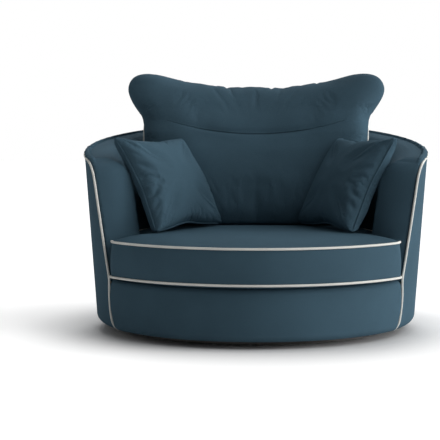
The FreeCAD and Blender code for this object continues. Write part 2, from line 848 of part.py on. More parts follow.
def seat_piping(seam):
    """Piping sewn in at a seam's height."""
    low = seam - cushion_piping_size / 2
    outer = Part.Face(seat_outline(cushion_piping_gap + cushion_piping_size, low, 1.0, seam))
    inner = Part.Face(seat_outline(cushion_piping_gap, low, 1.0, seam))
    return outer.cut(inner).extrude(Vector(0, 0, cushion_piping_size))


def level_value(values, share):
    """A value at a share of the back cushion's height, between the listed levels."""
    for i in range(len(values) - 1):
        low, high = back_level_shares[i:i + 2]
        if share <= high:
            t = (share - low) / (high - low)
            return values[i] + (values[i + 1] - values[i]) * t
    return values[-1]


def back_section(station, lift, ear, full, tuck):
    """The back cushion's outline where it is cut across at a share of its reach."""
    base = seat_top + fit_gap
    height = back_top_height - base
    low = base + height * lift
    top = back_top_height + back_ear_rise * ear
    front, back = [], []
    for share, half_share in zip(back_level_shares, back_half_shares):
        z = low + (top - low) * share
        y = level_value(back_spine_shares, (z - base) / height) * tub_inner_radius
        y -= level_value(back_bow_shares, (z - base) / height) * tub_inner_radius * station ** 2
        half = half_share * tub_inner_radius * full
        half *= (1 - lift if share == 0 else 1) * (tuck if share < back_crease_share else 1)
        front.append(Vector(station * back_reach, y - half, z))
        back.append(Vector(station * back_reach, y + half, z))
    return wire_of([
        arc(front[0], front[1], front[2]),
        arc(front[2], front[3], front[4]),
        arc(front[4], back[3], back[2]),
        arc(back[2], back[1], back[0]),
        line(back[0], front[0]),
    ])


def back_cushion():
    """The back pillow: a body that stands on the seat, a rolled head and an ear at each end."""
    ends = back_lift_shares, back_ear_shares, back_full_shares, back_tuck_shares
    stations = list(zip(back_station_shares, *ends))
    right = [back_section(*s) for s in stations]
    left = [back_section(-s[0], *s[1:]) for s in stations[1:]]
    return Part.makeLoft(left[::-1] + right, True, True)


def pillow_outline(size, depth):
    """A square with drawn-in sides, sized by a share, at a distance from the pillow's middle plane."""
    w = scatter_size / 2 * size
    pinch = scatter_pinch_share * scatter_size * size
    corners = [Vector(x, y, depth) for x, y in ((-w, -w), (w, -w), (w, w), (-w, w))]
    mids = [Vector(x, y, depth) for x, y in ((0, pinch - w), (w - pinch, 0), (0, w - pinch), (pinch - w, 0))]
    return wire_of([arc(corners[i], mids[i], corners[(i + 1) % 4]) for i in range(4)])


def scatter_cushion():
    """The left-hand square pillow, leaning in the corner of the tub."""
    half_depth = scatter_size * scatter_depth_share / 2
    front = [pillow_outline(size, depth * half_depth) for size, depth in scatter_shares]
    back = [pillow_outline(size, -depth * half_depth) for size, depth in scatter_shares[1:]]
    pillow = Part.makeLoft(back[::-1] + front, True, True)
    across = unit(scatter_across_share)
    upward = unit(scatter_up_share - across * scatter_up_share.dot(across))
    facing = across.cross(upward)
    place = Vector(*scatter_place_shares) * tub_inner_radius
    rise = seat_top + scatter_rise_share * scatter_size
    frame = Matrix(
        across.x, upward.x, facing.x, place.x,
        across.y, upward.y, facing.y, place.y,
        across.z, upward.z, facing.z, rise,
        0, 0, 0, 1,
    )
    pillow.Placement = Placement(frame)
    return pillow


right_pad, back_pad, left_pad = wall_pads()
right_facing, left_facing = arm_facings()
long_beam, cross_beam = plinth_beams()
right_post = arm_post()
right_rail = cross_rail()
left_pillow = scatter_cushion()

pieces = {
    "floor_glides": floor_glides(),
    "plinth_ring": plinth_ring(),
    "plinth_beam_long": long_beam,
    "plinth_beam_cross": cross_beam,
    "plinth_screws": group([screw(p, down, screw_length) for p in beam_seats]),
    "turntable_lower_race": lower_race(),
    "lower_race_screws": group([screw(p, down, screw_length) for p in race_seats]),
    "ball_cage": ball_cage(),
    "bearing_balls": bearing_balls(),
    "turntable_upper_race": upper_race(),
    "upper_race_screws": group([screw(p, up, screw_length) for p in bolt_seats]),
    "cross_rail_left": mirrored(right_rail),
    "cross_rail_right": right_rail,
    "cross_rail_screws": group([screw(p, down, rail_screw_length) for p in rail_screw_seats]),
    "base_hoop": base_hoop(),
    "apron_board": apron_board(),
    "arm_post_left": mirrored(right_post),
    "arm_post_right": right_post,
    "wall_posts": wall_posts(),
    "seat_hoop": seat_hoop(),
    "rim_rail": rim_rail(),
    "outer_board": outer_board(),
    "inner_board": inner_board(),
    "spring_clips": spring_clips(),
    "seat_springs": seat_springs(),
    "seat_felt": seat_felt(),
    "platform_cloth": platform_cloth(),
    "arm_pad_left": left_pad,
    "back_pad": back_pad,
    "arm_pad_right": right_pad,
    "arm_facing_left": left_facing,
    "arm_facing_right": right_facing,
    "front_pad": front_pad(),
    "front_cover": front_cover(),
    "outer_cover": outer_cover(),
    "body_piping": body_piping(),
    "dust_cover": dust_cover(),
    "seat_cushion_foam": seat_cushion_foam(),
    "seat_cushion_cover": seat_cushion_cover(),
    "seat_cushion_piping_top": seat_piping(seam_high),
    "seat_cushion_piping_bottom": seat_piping(seam_low),
    "back_cushion": back_cushion(),
    "scatter_cushion_left": left_pillow,
    "scatter_cushion_right": mirrored(left_pillow),
}

os.makedirs("parts", exist_ok=True)
for name, shape in pieces.items():
    shape.exportStep("parts/" + name + ".step")
    print(name, "ok" if shape.isValid() else "not valid", len(shape.Solids))
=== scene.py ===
from math import asin, atan2, cos, degrees, exp, pi, radians, sin, sqrt

import bmesh
import bpy
import numpy as np
from mathutils import Matrix, Vector
from mathutils.bvhtree import BVHTree


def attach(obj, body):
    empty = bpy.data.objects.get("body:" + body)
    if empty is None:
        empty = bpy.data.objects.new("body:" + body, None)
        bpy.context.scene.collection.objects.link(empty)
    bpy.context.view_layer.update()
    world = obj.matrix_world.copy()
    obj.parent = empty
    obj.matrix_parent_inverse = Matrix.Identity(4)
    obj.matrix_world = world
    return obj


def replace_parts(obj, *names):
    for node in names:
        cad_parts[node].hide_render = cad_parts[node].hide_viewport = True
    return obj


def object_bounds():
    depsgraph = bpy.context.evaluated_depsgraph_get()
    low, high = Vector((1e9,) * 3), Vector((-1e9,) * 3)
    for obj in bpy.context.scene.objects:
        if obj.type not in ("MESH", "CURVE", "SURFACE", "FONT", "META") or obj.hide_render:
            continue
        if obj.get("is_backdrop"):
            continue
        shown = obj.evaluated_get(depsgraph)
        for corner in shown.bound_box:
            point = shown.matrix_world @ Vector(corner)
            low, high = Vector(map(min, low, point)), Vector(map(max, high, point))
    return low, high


# The swivel armchair's looks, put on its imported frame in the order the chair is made, then the studio.
# Metres, in the frame's own axes: the swivel axis is Z, the floor is z = 0 and the chair faces -Y.

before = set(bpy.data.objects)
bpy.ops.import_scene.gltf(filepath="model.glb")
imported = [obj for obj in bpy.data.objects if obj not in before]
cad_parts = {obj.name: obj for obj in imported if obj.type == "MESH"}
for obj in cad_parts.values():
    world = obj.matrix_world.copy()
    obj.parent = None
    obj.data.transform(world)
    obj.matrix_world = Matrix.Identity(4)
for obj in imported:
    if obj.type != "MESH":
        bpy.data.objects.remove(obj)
cad_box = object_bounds()
scene = bpy.context.scene


# The plinth: a ring and two crossed beams of timber, stained nearly black, on low moulded glides.
# Only its shadow line shows under the drum, so the stain is satin and the grain faint.

def set_all(thing, **settings):
    """Sets attributes by name."""
    for key, value in settings.items():
        setattr(thing, key, value)


def add_node(tree, kind, sockets, **settings):
    """Adds a node and gives its outputs: settings first, then each socket's value or link."""
    made = tree.nodes.new(kind)
    set_all(made, **settings)
    for key, value in sockets.items():
        if isinstance(value, bpy.types.NodeSocket):
            tree.links.new(value, made.inputs[key])
        else:
            made.inputs[key].default_value = value
    return made.outputs


class Wire:
    """A shader value that Python's arithmetic works on: each operator adds a Math node."""

    def __init__(self, paint, socket):
        self.paint, self.socket = paint, socket

    def math(self, operation, *values):
        return self.paint.node("Math", dict(enumerate(values)), operation=operation)

    def __getitem__(self, output):
        return Wire(self.paint, self.socket.node.outputs[output])

    def __add__(self, other):
        return self.math("ADD", self, other)

    def __sub__(self, other):
        return self.math("SUBTRACT", self, other)

    def __rsub__(self, other):
        return self.math("SUBTRACT", other, self)

    def __mul__(self, other):
        return self.math("MULTIPLY", self, other)

    def __abs__(self):
        return self.math("ABSOLUTE", self)

    __radd__, __rmul__ = __add__, __mul__

    def sin(self):
        return self.math("SINE", self)

    def ease(self, low, high):
        """From 0 at low to 1 at high, turning smoothly."""
        span = {"Value": self, "From Min": low, "From Max": high}
        return self.paint.node("MapRange", span, interpolation_type="SMOOTHSTEP")


class Paint:
    """A material on one Principled shader, whose fixed values are given by socket name."""

    def __init__(self, name, **fixed):
        self.material = bpy.data.materials.new(name)
        self.material.use_nodes = True
        self.tree = self.material.node_tree
        self.shader = self.tree.nodes["Principled BSDF"]
        for socket, value in fixed.items():
            self.shader.inputs[socket.replace("_", " ")].default_value = value

    def node(self, kind, sockets, output=0, **settings):
        """One output of a new shader node."""
        plain = {key: value.socket if isinstance(value, Wire) else value for key, value in sockets.items()}
        return Wire(self, add_node(self.tree, "ShaderNode" + kind, plain, **settings)[output])

    def place(self, scale=(1, 1, 1)):
        """Object coordinates, stretched."""
        return self.node("Mapping", {"Vector": self.node("TexCoord", {}, "Object"), "Scale": scale})

    def noise(self, scale, detail=2.0, roughness=0.5, at=None):
        """Noise over the object's coordinates, or at a given place."""
        spot = {"Vector": at or self.place(), "Scale": scale, "Detail": detail, "Roughness": roughness}
        return self.node("TexNoise", spot)

    def part(self, vector, axis):
        """One number of a vector."""
        return self.node("SeparateXYZ", {0: vector}, axis)

    def blend(self, share, low, high):
        """A colour between two colours."""
        return self.node("Mix", {0: share, 6: low, 7: high}, 2, data_type="RGBA")

    def feed(self, **sockets):
        """Links what changes over the surface; a height goes through a Bump node, in metres."""
        for name, value in sockets.items():
            if name == "height":
                name, value = "Normal", self.node("Bump", {"Height": value, "Distance": 1.0})
            self.tree.links.new(value.socket, self.shader.inputs[name.replace("_", " ")])
        return self.material


def paint_nodes(material, *names):
    """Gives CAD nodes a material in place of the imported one."""
    for name in names:
        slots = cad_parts[name].data.materials
        slots.clear()
        slots.append(material)


def rgb(red, green, blue):
    """A colour from 0 to 255 as it shows on a screen."""
    shares = (red / 255, green / 255, blue / 255)
    return tuple(((c + 0.055) / 1.055) ** 2.4 if c > 0.04 else c / 12.92 for c in shares) + (1,)


def shaded(colour, share):
    """A colour made darker or paler."""
    return tuple(min(c * share, 1) for c in colour[:3]) + (1,)


def timber(name, pale, dark, along, ring_size=0.011, roughness=0.6, relief=0.00012):
    """Sawn timber: noise drawn out along the board, with finer fibres over it."""
    paint = Paint(name)
    rings, strands = (tuple(drawn if axis == along else 1.0 for axis in "xyz") for drawn in (0.06, 0.02))
    bands = paint.noise(1 / ring_size, 3.0, at=paint.place(rings))
    fibres = paint.noise(900.0, at=paint.place(strands))
    tone = bands.ease(0.36, 0.64) * 0.7 + fibres.ease(0.35, 0.65) * 0.3
    tint = paint.blend(tone, dark, pale)
    return paint.feed(Base_Color=tint, Roughness=tone * -0.12 + roughness, height=fibres * relief)


plinth_stain = timber("plinth_stain", rgb(40, 37, 35), rgb(22, 20, 19), "x", roughness=0.5)
paint_nodes(plinth_stain, "plinth_ring", "plinth_beam_long", "plinth_beam_cross")


def speckled(name, noise, roughness, spread, relief=None, tones=None, **fixed):
    """A material whose gloss, height and tone all follow one noise, given as (scale, detail, roughness)."""
    paint = Paint(name, **fixed)
    speck = paint.noise(*noise)
    looks = {"Roughness": speck * spread + roughness}
    if relief:
        looks["height"] = speck * relief
    if tones:
        looks["Base_Color"] = paint.blend(speck, *tones)
    return paint.feed(**looks)


glide_black = dict(Base_Color=rgb(30, 30, 31), Specular_IOR_Level=0.4)
glide = speckled("glide_plastic", (1500.0,), roughness=0.45, spread=0.2, relief=0.00003, **glide_black)
paint_nodes(glide, "floor_glides")


# The turntable: two pressed races of zinc-plated steel, hemmed into each other, with a nylon cage
# of polished balls between them. Four screws hold it to the plinth and four to the cross rails.

def plated(name, colour, roughness, brush_scale=260.0):
    """Zinc plate: cloudy grey crystals, with faint marks from the press."""
    paint = Paint(name, Metallic=1.0)
    cloud = paint.noise(45.0, 4.0)
    marks = paint.noise(brush_scale, 3.0, at=paint.place((1.0, 1.0, 0.1)))
    tint = paint.blend(cloud, shaded(colour, 0.72), colour)
    return paint.feed(Base_Color=tint, Roughness=cloud * 0.16 + marks * 0.08 + roughness, height=marks * 0.00002)


race_zinc = plated("race_zinc", rgb(196, 196, 190), roughness=0.28)
paint_nodes(race_zinc, "turntable_lower_race", "turntable_upper_race")
screw_zinc = plated("screw_zinc", rgb(188, 187, 178), roughness=0.3, brush_scale=900.0)
paint_nodes(screw_zinc, "plinth_screws", "lower_race_screws", "upper_race_screws", "cross_rail_screws")

steel = dict(Base_Color=rgb(205, 206, 208), Metallic=1.0)
paint_nodes(speckled("ball_steel", (700.0,), roughness=0.06, spread=0.06, **steel), "bearing_balls")
nylon = dict(tones=(rgb(214, 210, 196), rgb(228, 225, 214)), Subsurface_Weight=0.1)
cage = speckled("cage_nylon", (90.0,), roughness=0.4, spread=0.15, relief=0.00002, **nylon)
paint_nodes(cage, "ball_cage")


# The frame: cross rails and posts of planed softwood, hoops and rim rail of birch plywood whose edges
# show their plies, and thin hardboard bent round the posts. All of it is glued, screwed and left bare.

paint_nodes(timber("rail_pine", rgb(205, 170, 122), rgb(172, 128, 80), "y"), "cross_rail_left", "cross_rail_right")
post_pine = timber("post_pine", rgb(208, 174, 128), rgb(170, 127, 80), "z")
paint_nodes(post_pine, "arm_post_left", "arm_post_right", "wall_posts")

ply_thickness = 0.003
ply = Paint("birch_plywood")
face_grain = ply.noise(120.0, 3.0, at=ply.place((0.05, 1.0, 1.0)))
upright = abs(ply.part(ply.node("TexCoord", {}, "Normal"), 2))
plies = (ply.part(ply.place(), 2) * (2 * pi / ply_thickness)).sin().ease(-0.3, 0.3)
edge = 1 - upright.ease(0.4, 0.6)
stripe = plies * edge * 0.75 + face_grain.ease(0.3, 0.7) * 0.25
ply_tint = ply.blend(stripe, rgb(214, 184, 138), rgb(158, 116, 70))
birch = ply.feed(Base_Color=ply_tint, Roughness=face_grain * 0.2 + 0.5, height=stripe * 0.00008)
paint_nodes(birch, "base_hoop", "apron_board", "seat_hoop", "rim_rail")

pulp = (rgb(96, 66, 42), rgb(124, 88, 58))
board = speckled("hardboard", (420.0, 4.0), roughness=0.5, spread=0.25, relief=0.00004, tones=pulp)
paint_nodes(board, "outer_board", "inner_board")


# The seat's suspension: black-coated zigzag springs whose end bars sit in plated clips on the hoop,
# a layer of grey needled felt on top, and the black deck cloth that is pulled tight over it.

spring_black = dict(Base_Color=rgb(26, 26, 27), Specular_IOR_Level=0.5)
coat = speckled("spring_coat", (600.0,), roughness=0.3, spread=0.2, relief=0.00003, **spring_black)
paint_nodes(coat, "seat_springs")
paint_nodes(plated("clip_zinc", rgb(190, 190, 184), roughness=0.3), "spring_clips")


def linked(name, data):
    """A new object in the scene."""
    obj = bpy.data.objects.new(name, data)
    scene.collection.objects.link(obj)
    return obj


def piece(name, points, faces, material, smooth=True):
    """A mesh object at the origin from points and faces."""
    mesh = bpy.data.meshes.new(name)
    mesh.from_pydata([tuple(p) for p in points], [], [tuple(f) for f in faces])
    mesh.materials.append(material)
    mesh.polygons.foreach_set("use_smooth", [smooth] * len(mesh.polygons))
    return linked(name, mesh)


def grid_faces(rows, columns, round_rows=False, round_columns=False):
    """Quads between points that are numbered row by row."""
    return [
        (r * columns + c, r * columns + (c + 1) % columns,
         (r + 1) % rows * columns + (c + 1) % columns, (r + 1) % rows * columns + c)
        for r in range(rows - (not round_rows))
        for c in range(columns - (not round_columns))
    ]


def turned(profile, start, end, steps):
    """Points of a profile of (radius, height) turned about the axis, in degrees from straight ahead."""
    a = np.radians(np.linspace(start, end, steps))[:, None]
    r, z = np.array(profile).T
    return np.stack([r * np.sin(a), -r * np.cos(a), z + 0 * a], axis=2).reshape(-1, 3)


def outward(obj):
    """Merges doubles and turns the faces outwards."""
    work = bmesh.new()
    work.from_mesh(obj.data)
    bmesh.ops.remove_doubles(work, verts=work.verts, dist=1e-5)
    bmesh.ops.recalc_face_normals(work, faces=work.faces)
    work.to_mesh(obj.data)
    work.free()
    return obj


def turned_piece(name, profile, material, closed=False):
    """A round piece whose profile is turned about the axis in steps of 3 degrees."""
    faces = grid_faces(120, len(profile), round_rows=True, round_columns=closed)
    return outward(piece(name, turned(profile, 0, 357, 120), faces, material))


def read(items, key, width=3, kind=float):
    """One value of each of a mesh's points, faces or corners, as an array."""
    found = np.zeros(len(items) * width, kind)
    items.foreach_get(key, found)
    return found.reshape(-1, width) if width > 1 else found


def coordinates(obj):
    """The piece's points and their normals, as arrays."""
    return read(obj.data.vertices, "co"), read(obj.data.vertices, "normal")


def move_to(obj, points):
    """Puts the piece's points in new places."""
    obj.data.vertices.foreach_set("co", np.asarray(points, float).ravel())
    obj.data.update()
    return obj


def lay_grain(obj):
    """A UV map in metres, laid flat on the side each face looks to, so the weave keeps its size."""
    mesh = obj.data
    layer = mesh.uv_layers.new(name="grain")
    side = np.abs(read(mesh.polygons, "normal")).argmax(axis=1)
    corner_side = np.repeat(side, read(mesh.polygons, "loop_total", 1, int))
    points = coordinates(obj)[0][read(mesh.loops, "vertex_index", 1, int)]
    across = np.where(corner_side == 0, points[:, 1], points[:, 0])
    upward = np.where(corner_side == 2, points[:, 1], points[:, 2])
    layer.data.foreach_set("uv", np.stack([across, upward], axis=1).ravel())
    return obj


def cloth(name, colour, thread=0.0011, seam=False, bias=0.0, relief=0.00016, pale=1.16, dull=0.9):
    """Plain-woven cloth: crossing threads, slubs along them, an uneven tone and grooves at its seams, darkened
    there with painted shade.
    """
    seam_width, seam_depth = 0.0032, 0.0016
    paint = Paint(name, Specular_IOR_Level=0.04, Sheen_Weight=0.06, Sheen_Roughness=0.5, Sheen_Tint=colour)
    grain = paint.node("UVMap", {}, uv_map="grain")
    grain = paint.node("Mapping", {"Vector": grain, "Rotation": (0, 0, bias)})
    warp, weft = ((paint.part(grain, i) * (2 * pi / thread)).sin() for i in (0, 1))
    knuckle = warp * weft * 0.5 + 0.5
    slub_along, slub_across = (
        paint.noise(1.0, 1.0, at=paint.node("Mapping", {"Vector": grain, "Scale": scale}))
        for scale in ((700.0, 40.0, 1.0), (40.0, 700.0, 1.0))
    )
    patch = paint.noise(5.0, 3.0)
    tone = knuckle * 0.3 + slub_along * 0.3 + slub_across * 0.3 + patch.ease(0.3, 0.7) * 0.35
    height = knuckle * relief + slub_along * (relief * 0.8) + slub_across * (relief * 0.8)
    tint = paint.blend(tone, shaded(colour, dull * 0.88), shaded(colour, pale))
    if seam:
        away = abs(paint.node("Attribute", {}, "Fac", attribute_name="seam"))
        seam_groove_and_shade = 1 - away.ease(0.0, seam_width)
        height = height - seam_groove_and_shade * seam_depth
        # Along the seam the colour is also darkened towards 30 % of the cloth's own: painted shade in the groove.
        tint = paint.blend(seam_groove_and_shade * 0.8, tint, shaded(colour, 0.3))
    return paint.feed(Base_Color=tint, Roughness=tone * 0.12 + 0.8, height=height)


deck_black = cloth("deck_black", rgb(34, 36, 38), thread=0.0016)
deck_profile = [(0.0005, 0.2105), (0.15, 0.2102), (0.3, 0.2103), (0.425, 0.2105), (0.440, 0.2102),
                (0.4415, 0.2092), (0.440, 0.2087), (0.15, 0.2087), (0.0005, 0.2087)]
deck_cloth = turned_piece("deck_cloth", deck_profile, deck_black)
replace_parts(lay_grain(deck_cloth), "platform_cloth")
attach(deck_cloth, "tub")

tufts = dict(tones=(rgb(92, 92, 94), rgb(140, 139, 138)), Specular_IOR_Level=0.15, Sheen_Weight=0.4)
needled = speckled("needled_felt", (800.0, 5.0, 0.7), roughness=0.88, spread=0.1, relief=0.0004, **tufts)
felt_profile = [(0.0005, 0.2083), (0.405, 0.2083), (0.4123, 0.2075), (0.4135, 0.206), (0.4123, 0.2044),
                (0.405, 0.2037), (0.0005, 0.2037)]
felt = turned_piece("felt_pad", felt_profile, needled)
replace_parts(felt, "seat_felt")
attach(felt, "tub")


# The upholstered wall: foam pads over arms and back under one dark slate-blue cover, rolled over the rim.
# The arm fronts are separate facings, sewn in along a seam inside each arm's edge and slightly crowned.

slate = rgb(66, 90, 104)
foot_height, deck_height, wall_depth = 0.025, 0.2105, 0.150
foot_radius, flare = 0.587, 0.072441  # the radius at the foot, and what it gains per metre of height
rim_height, rim_slope = 0.660, 0.12638  # the rim's plane: its height at the axis, its rise to the back
face_degrees, face_lead, arm_slope = 63.5, 0.043, 0.24472  # the arm front: its turn, its lead and its lean
face_angle = radians(face_degrees)


def wall_radius(height, depth=0.0):
    """The tub's outer radius at a height, less a depth into the wall."""
    return foot_radius + flare * (height - foot_height) - depth


def arm_planes(set_back=0.0, drop=0.0, corner=0.09, cuts=9):
    """The right arm's front, lean and rim planes as (point, inward normal), then those round its top corner."""
    along = Vector((cos(face_angle), sin(face_angle), 0))
    root = Vector((0, -face_lead, deck_height)) + along * set_back
    lean = Vector((along.x, along.y, -arm_slope * along.y)).normalized()
    rim = Vector((0, rim_slope, -1)).normalized()
    top = Vector((0, 0, rim_height - drop))
    radius, beside = corner - set_back, 0.6
    system = Matrix((Vector((1, 0, 0)), lean, rim))
    centre = system.inverted() @ Vector((beside, radius + lean.dot(root), radius + rim.dot(top)))
    planes = [(root, along), (root, lean), (top, rim)]
    for i in range(1, cuts):
        normal = (lean * (1 - i / cuts) + rim * (i / cuts)).normalized()
        planes.append((centre - normal * radius, normal))
    return planes


def trimmed_half(points, faces, planes, filled=False):
    """The right half of a form, cut by planes, as a bmesh."""
    work = bmesh.new()
    made = [work.verts.new(p) for p in points]
    for f in faces:
        work.faces.new([made[i] for i in f])
    for point, normal in planes:
        everything = work.verts[:] + work.edges[:] + work.faces[:]
        bmesh.ops.bisect_plane(
            work, geom=everything, dist=1e-6, plane_co=point, plane_no=-normal, clear_outer=True
        )
        if filled:
            rims = [e for e in work.edges if e.is_boundary and e.calc_length() > 0]
            bmesh.ops.holes_fill(work, edges=rims, sides=0)
    return work


def both_halves(name, work, material):
    """The half and its mirror image as one piece, joined on the chair's middle plane."""
    points = [v.co.copy() for v in work.verts]
    index = {v: i for i, v in enumerate(work.verts)}
    faces = [[index[v] for v in f.verts] for f in work.faces]
    work.free()
    n = len(points)
    points += [Vector((-p.x, p.y, p.z)) for p in points]
    faces += [[i + n for i in reversed(f)] for f in faces]
    return outward(piece(name, points, faces, material))


def kept_result(obj):
    """Keeps what the piece's modifier makes as its plain mesh."""
    mesh = bpy.data.meshes.new_from_object(obj.evaluated_get(bpy.context.evaluated_depsgraph_get()))
    obj.modifiers.clear()
    obj.data = mesh
    return obj


def modified(obj, kind, **settings):
    """Runs one modifier on the piece and keeps its result."""
    set_all(obj.modifiers.new(kind, kind), **settings)
    return kept_result(obj)


def set_seam(obj, distance):
    """Marks each point's distance from a seam, which the cloth's shader draws as a groove with painted shade."""
    layer = obj.data.attributes.new("seam", "FLOAT", "POINT")
    layer.data.foreach_set("value", np.asarray(distance, np.float32))


def remeshed(obj, size, rounds):
    """Turns the piece into an even skin of small faces, smoothed."""
    modified(obj, "REMESH", mode="VOXEL", voxel_size=size)
    return modified(obj, "SMOOTH", factor=0.5, iterations=rounds)


def polar(angle, radius, height=0.0):
    """A place at an angle from straight ahead, round the axis."""
    return radius * sin(angle), -radius * cos(angle), height


def wall_section(angle):
    """The wall's closed outline at an angle: outer side, crowned rim, rolled inner edge and inner side."""
    low, crest_width, roll_height, roll_rise = 0.2, 0.05, 0.096, 0.097
    inner_depth = wall_depth - 0.002
    c = cos(angle)
    top = (rim_height - rim_slope * c * wall_radius(0, 0.006)) / (1 + rim_slope * flare * c)
    outer = wall_radius(top, 0.004)
    crest, inner = outer - crest_width, wall_radius(top - roll_height, inner_depth)
    outline = [(wall_radius(z, inset), z) for z, inset in ((low, 0.008), (0.4, 0.008), (top - 0.03, 0.006))]
    for t in np.linspace(0, 1, 9):
        outline.append((outer - crest_width * t, top - 0.004 + 0.005 * sin(t * pi / 2)))
    for t in np.radians(np.linspace(8, 90, 12)):
        outline.append((crest - (crest - inner) * sin(t), top - roll_height + roll_rise * cos(t)))
    for z in np.linspace(top - 0.13, low, 6):
        outline.append((wall_radius(z, inner_depth), z))
    return [polar(angle, r, z) for r, z in outline]


wall_blue = cloth("wall_blue", slate, seam=True)
sections = [wall_section(a) for a in np.radians(np.linspace(50, 180, 66))]
columns = len(sections[0])
wall_points = [p for s in sections for p in s]
wall_faces = grid_faces(len(sections), columns, round_columns=True)
wall_faces.append(tuple(range(columns)))
proud = 0.0015  # how far the cover stands out from the foam's own planes
raised = arm_planes(set_back=proud, drop=-proud, corner=0.092)
half_wall = trimmed_half(wall_points, wall_faces, raised, filled=True)
wall_lining = remeshed(both_halves("wall_lining", half_wall, wall_blue), size=0.0062, rounds=6)


def ramp(value, width):
    """From 0 at nothing to 1 at a width."""
    return np.clip(value / width, 0, 1)


def bell(away, width):
    """From 1 on a line down to 0, most of it within a width."""
    return np.exp(-(away / width) ** 2)


def plane_gap(points, plane):
    """Each point's distance inside a plane, with the left side mirrored to the right."""
    folded = np.column_stack([np.abs(points[:, 0]), points[:, 1:]])
    return (folded - np.array(plane[0])) @ np.array(plane[1])


def wander(points, size, seed):
    """A smooth value between about -1 and 1 that changes over a distance, the same for the same seed."""
    random = np.random.default_rng(seed)
    total = np.zeros(len(points))
    for _ in range(10):
        way = random.normal(size=3)
        along = points @ (way / np.linalg.norm(way))
        total += np.sin(along * (2 * pi / size * random.uniform(0.7, 1.4)) + random.uniform(0, 2 * pi))
    return total / 5


facing_crown, rim_roll, seam_back, seam_back_on_top = 0.013, 0.0095, 0.017, 0.030
points, normals = coordinates(wall_lining)
ahead = np.minimum(plane_gap(points, raised[0]), plane_gap(points, raised[1]))
depth = wall_radius(points[:, 2]) - np.hypot(points[:, 0], points[:, 1])
middle = np.clip(np.sin(ramp(depth, wall_depth - 0.002) * pi), 0, 1)
puff = facing_crown * (1 - ramp(ahead, 0.02)) * middle
below_rim = plane_gap(points, raised[2]) - proud
over_edge = ramp(ahead - 0.012, 0.05) * bell(below_rim - 0.003, 0.010)
puff += np.where(depth < 0.02, rim_roll * over_edge, 0.0)
move_to(wall_lining, points + normals * puff[:, None])
seam_line = seam_back + seam_back_on_top * bell(np.maximum(below_rim, 0), 0.03)
lay_grain(wall_lining)
set_seam(wall_lining, np.where(depth > 0.014, ahead - seam_line, 1.0))
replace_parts(wall_lining, "arm_pad_left", "back_pad", "arm_pad_right", "arm_facing_left", "arm_facing_right")
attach(wall_lining, "tub")


# The padded front below the seat: the same cloth over foam on a curved board, turned in under the foot.
# It is pulled smooth from arm to arm, with a rounded lip that carries on over the deck's edge.

def face_turn(height, radius, gap):
    """The angle from straight ahead at which the right arm's face stands, less a gap, in degrees."""
    lead = face_lead - arm_slope * max(height - deck_height, 0)
    return face_degrees - degrees(asin((lead * sin(face_angle) + gap) / radius))


def bend(centre, across, upward, start, end, steps):
    """Points (radius, height) of a bend of two half-sizes."""
    turns = np.radians(np.linspace(start, end, steps))
    return [(centre[0] + across * cos(t), centre[1] + upward * sin(t)) for t in turns]


def bow_out(points):
    """Moves what is near the arms' front edges below the deck round the tub, where the cover is pulled."""
    bow, spread, bottom, edge_radius = 0.040, 0.16, 0.035, 0.595
    x, y, z = np.array([tuple(p) for p in points], float).T
    radius, turn = np.hypot(x, y), np.arctan2(np.abs(x), -y)
    edge = face_angle + asin(face_lead * sin(face_angle) / edge_radius)
    share = ramp(z - bottom, deck_height - bottom)
    turn = turn + bow * np.sin(share * pi) * bell(turn - edge, spread) * (z < deck_height)
    return np.column_stack([np.sign(x) * radius * np.sin(turn), -radius * np.cos(turn), z])


front_blue = cloth("front_blue", slate)
foot_level, lip_level, foot_bend, lip_bend, front_inset, belly = 0.051, 0.1905, 0.026, 0.020, 0.003, 0.004
foot_centre = wall_radius(foot_level, front_inset) - foot_bend
lip_centre = wall_radius(lip_level, front_inset) - lip_bend
turned_in = (0.542, 0.026)
front_profile = [turned_in, (0.552, 0.0255)]
front_profile += bend((foot_centre, foot_level), foot_bend, 0.0255, -90, 0, 9)
for z in np.linspace(0.065, 0.18, 14):
    out = belly * sin((z - foot_level) / (lip_level - foot_level) * pi)
    front_profile.append((wall_radius(z, front_inset) + out, z))
front_profile += bend((lip_centre, lip_level), lip_bend, lip_bend, 0, 90, 9)
front_profile += [(r, deck_height) for r in np.linspace(lip_centre - 0.012, 0.462, 8)]
shares = np.linspace(-1, 1, 141)
front_points = []
for r, z in front_profile:
    reach = radians(face_turn(z, r, gap=0.004))
    front_points += [polar(s * reach, r, z) for s in shares]
front_faces = grid_faces(len(front_profile), len(shares))
front_border = outward(piece("front_border", bow_out(front_points), front_faces, front_blue))
modified(front_border, "SOLIDIFY", thickness=0.003, offset=-1)
lay_grain(front_border)
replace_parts(front_border, "front_cover", "front_pad")
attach(front_border, "tub")


# The outer cover: one wide panel of the same cloth with wadding behind it, drawn round the tub's outside.
# A seam closes it at the middle of the back, and it turns in under the foot, where staples hold it.

cover_blue = cloth("cover_blue", slate, seam=True)
fold_radius, fold_level, fold_rise, rim_drop = 0.549, 0.063, 0.038, 0.009
cover_profile = [turned_in, (0.548, 0.0253)]
cover_profile += bend((fold_radius, fold_level), wall_radius(fold_level) - fold_radius, fold_rise, -88, 0, 12)
cover_profile += [(wall_radius(z), z) for z in np.linspace(0.075, 0.80, 74)]
cover_columns = 132
cover_points = turned(cover_profile, 50, 180, cover_columns)
cover_faces = grid_faces(cover_columns, len(cover_profile))
half_cover = trimmed_half(cover_points, cover_faces, arm_planes(drop=rim_drop))
outer_cover = both_halves("outer_panel", half_cover, cover_blue)
move_to(outer_cover, bow_out(coordinates(outer_cover)[0]))
modified(outer_cover, "SOLIDIFY", thickness=0.003, offset=-1)
lay_grain(outer_cover)
points = coordinates(outer_cover)[0]
set_seam(outer_cover, np.where(points[:, 1] > 0, points[:, 0], 1.0))
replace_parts(outer_cover, "outer_cover")
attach(outer_cover, "tub")


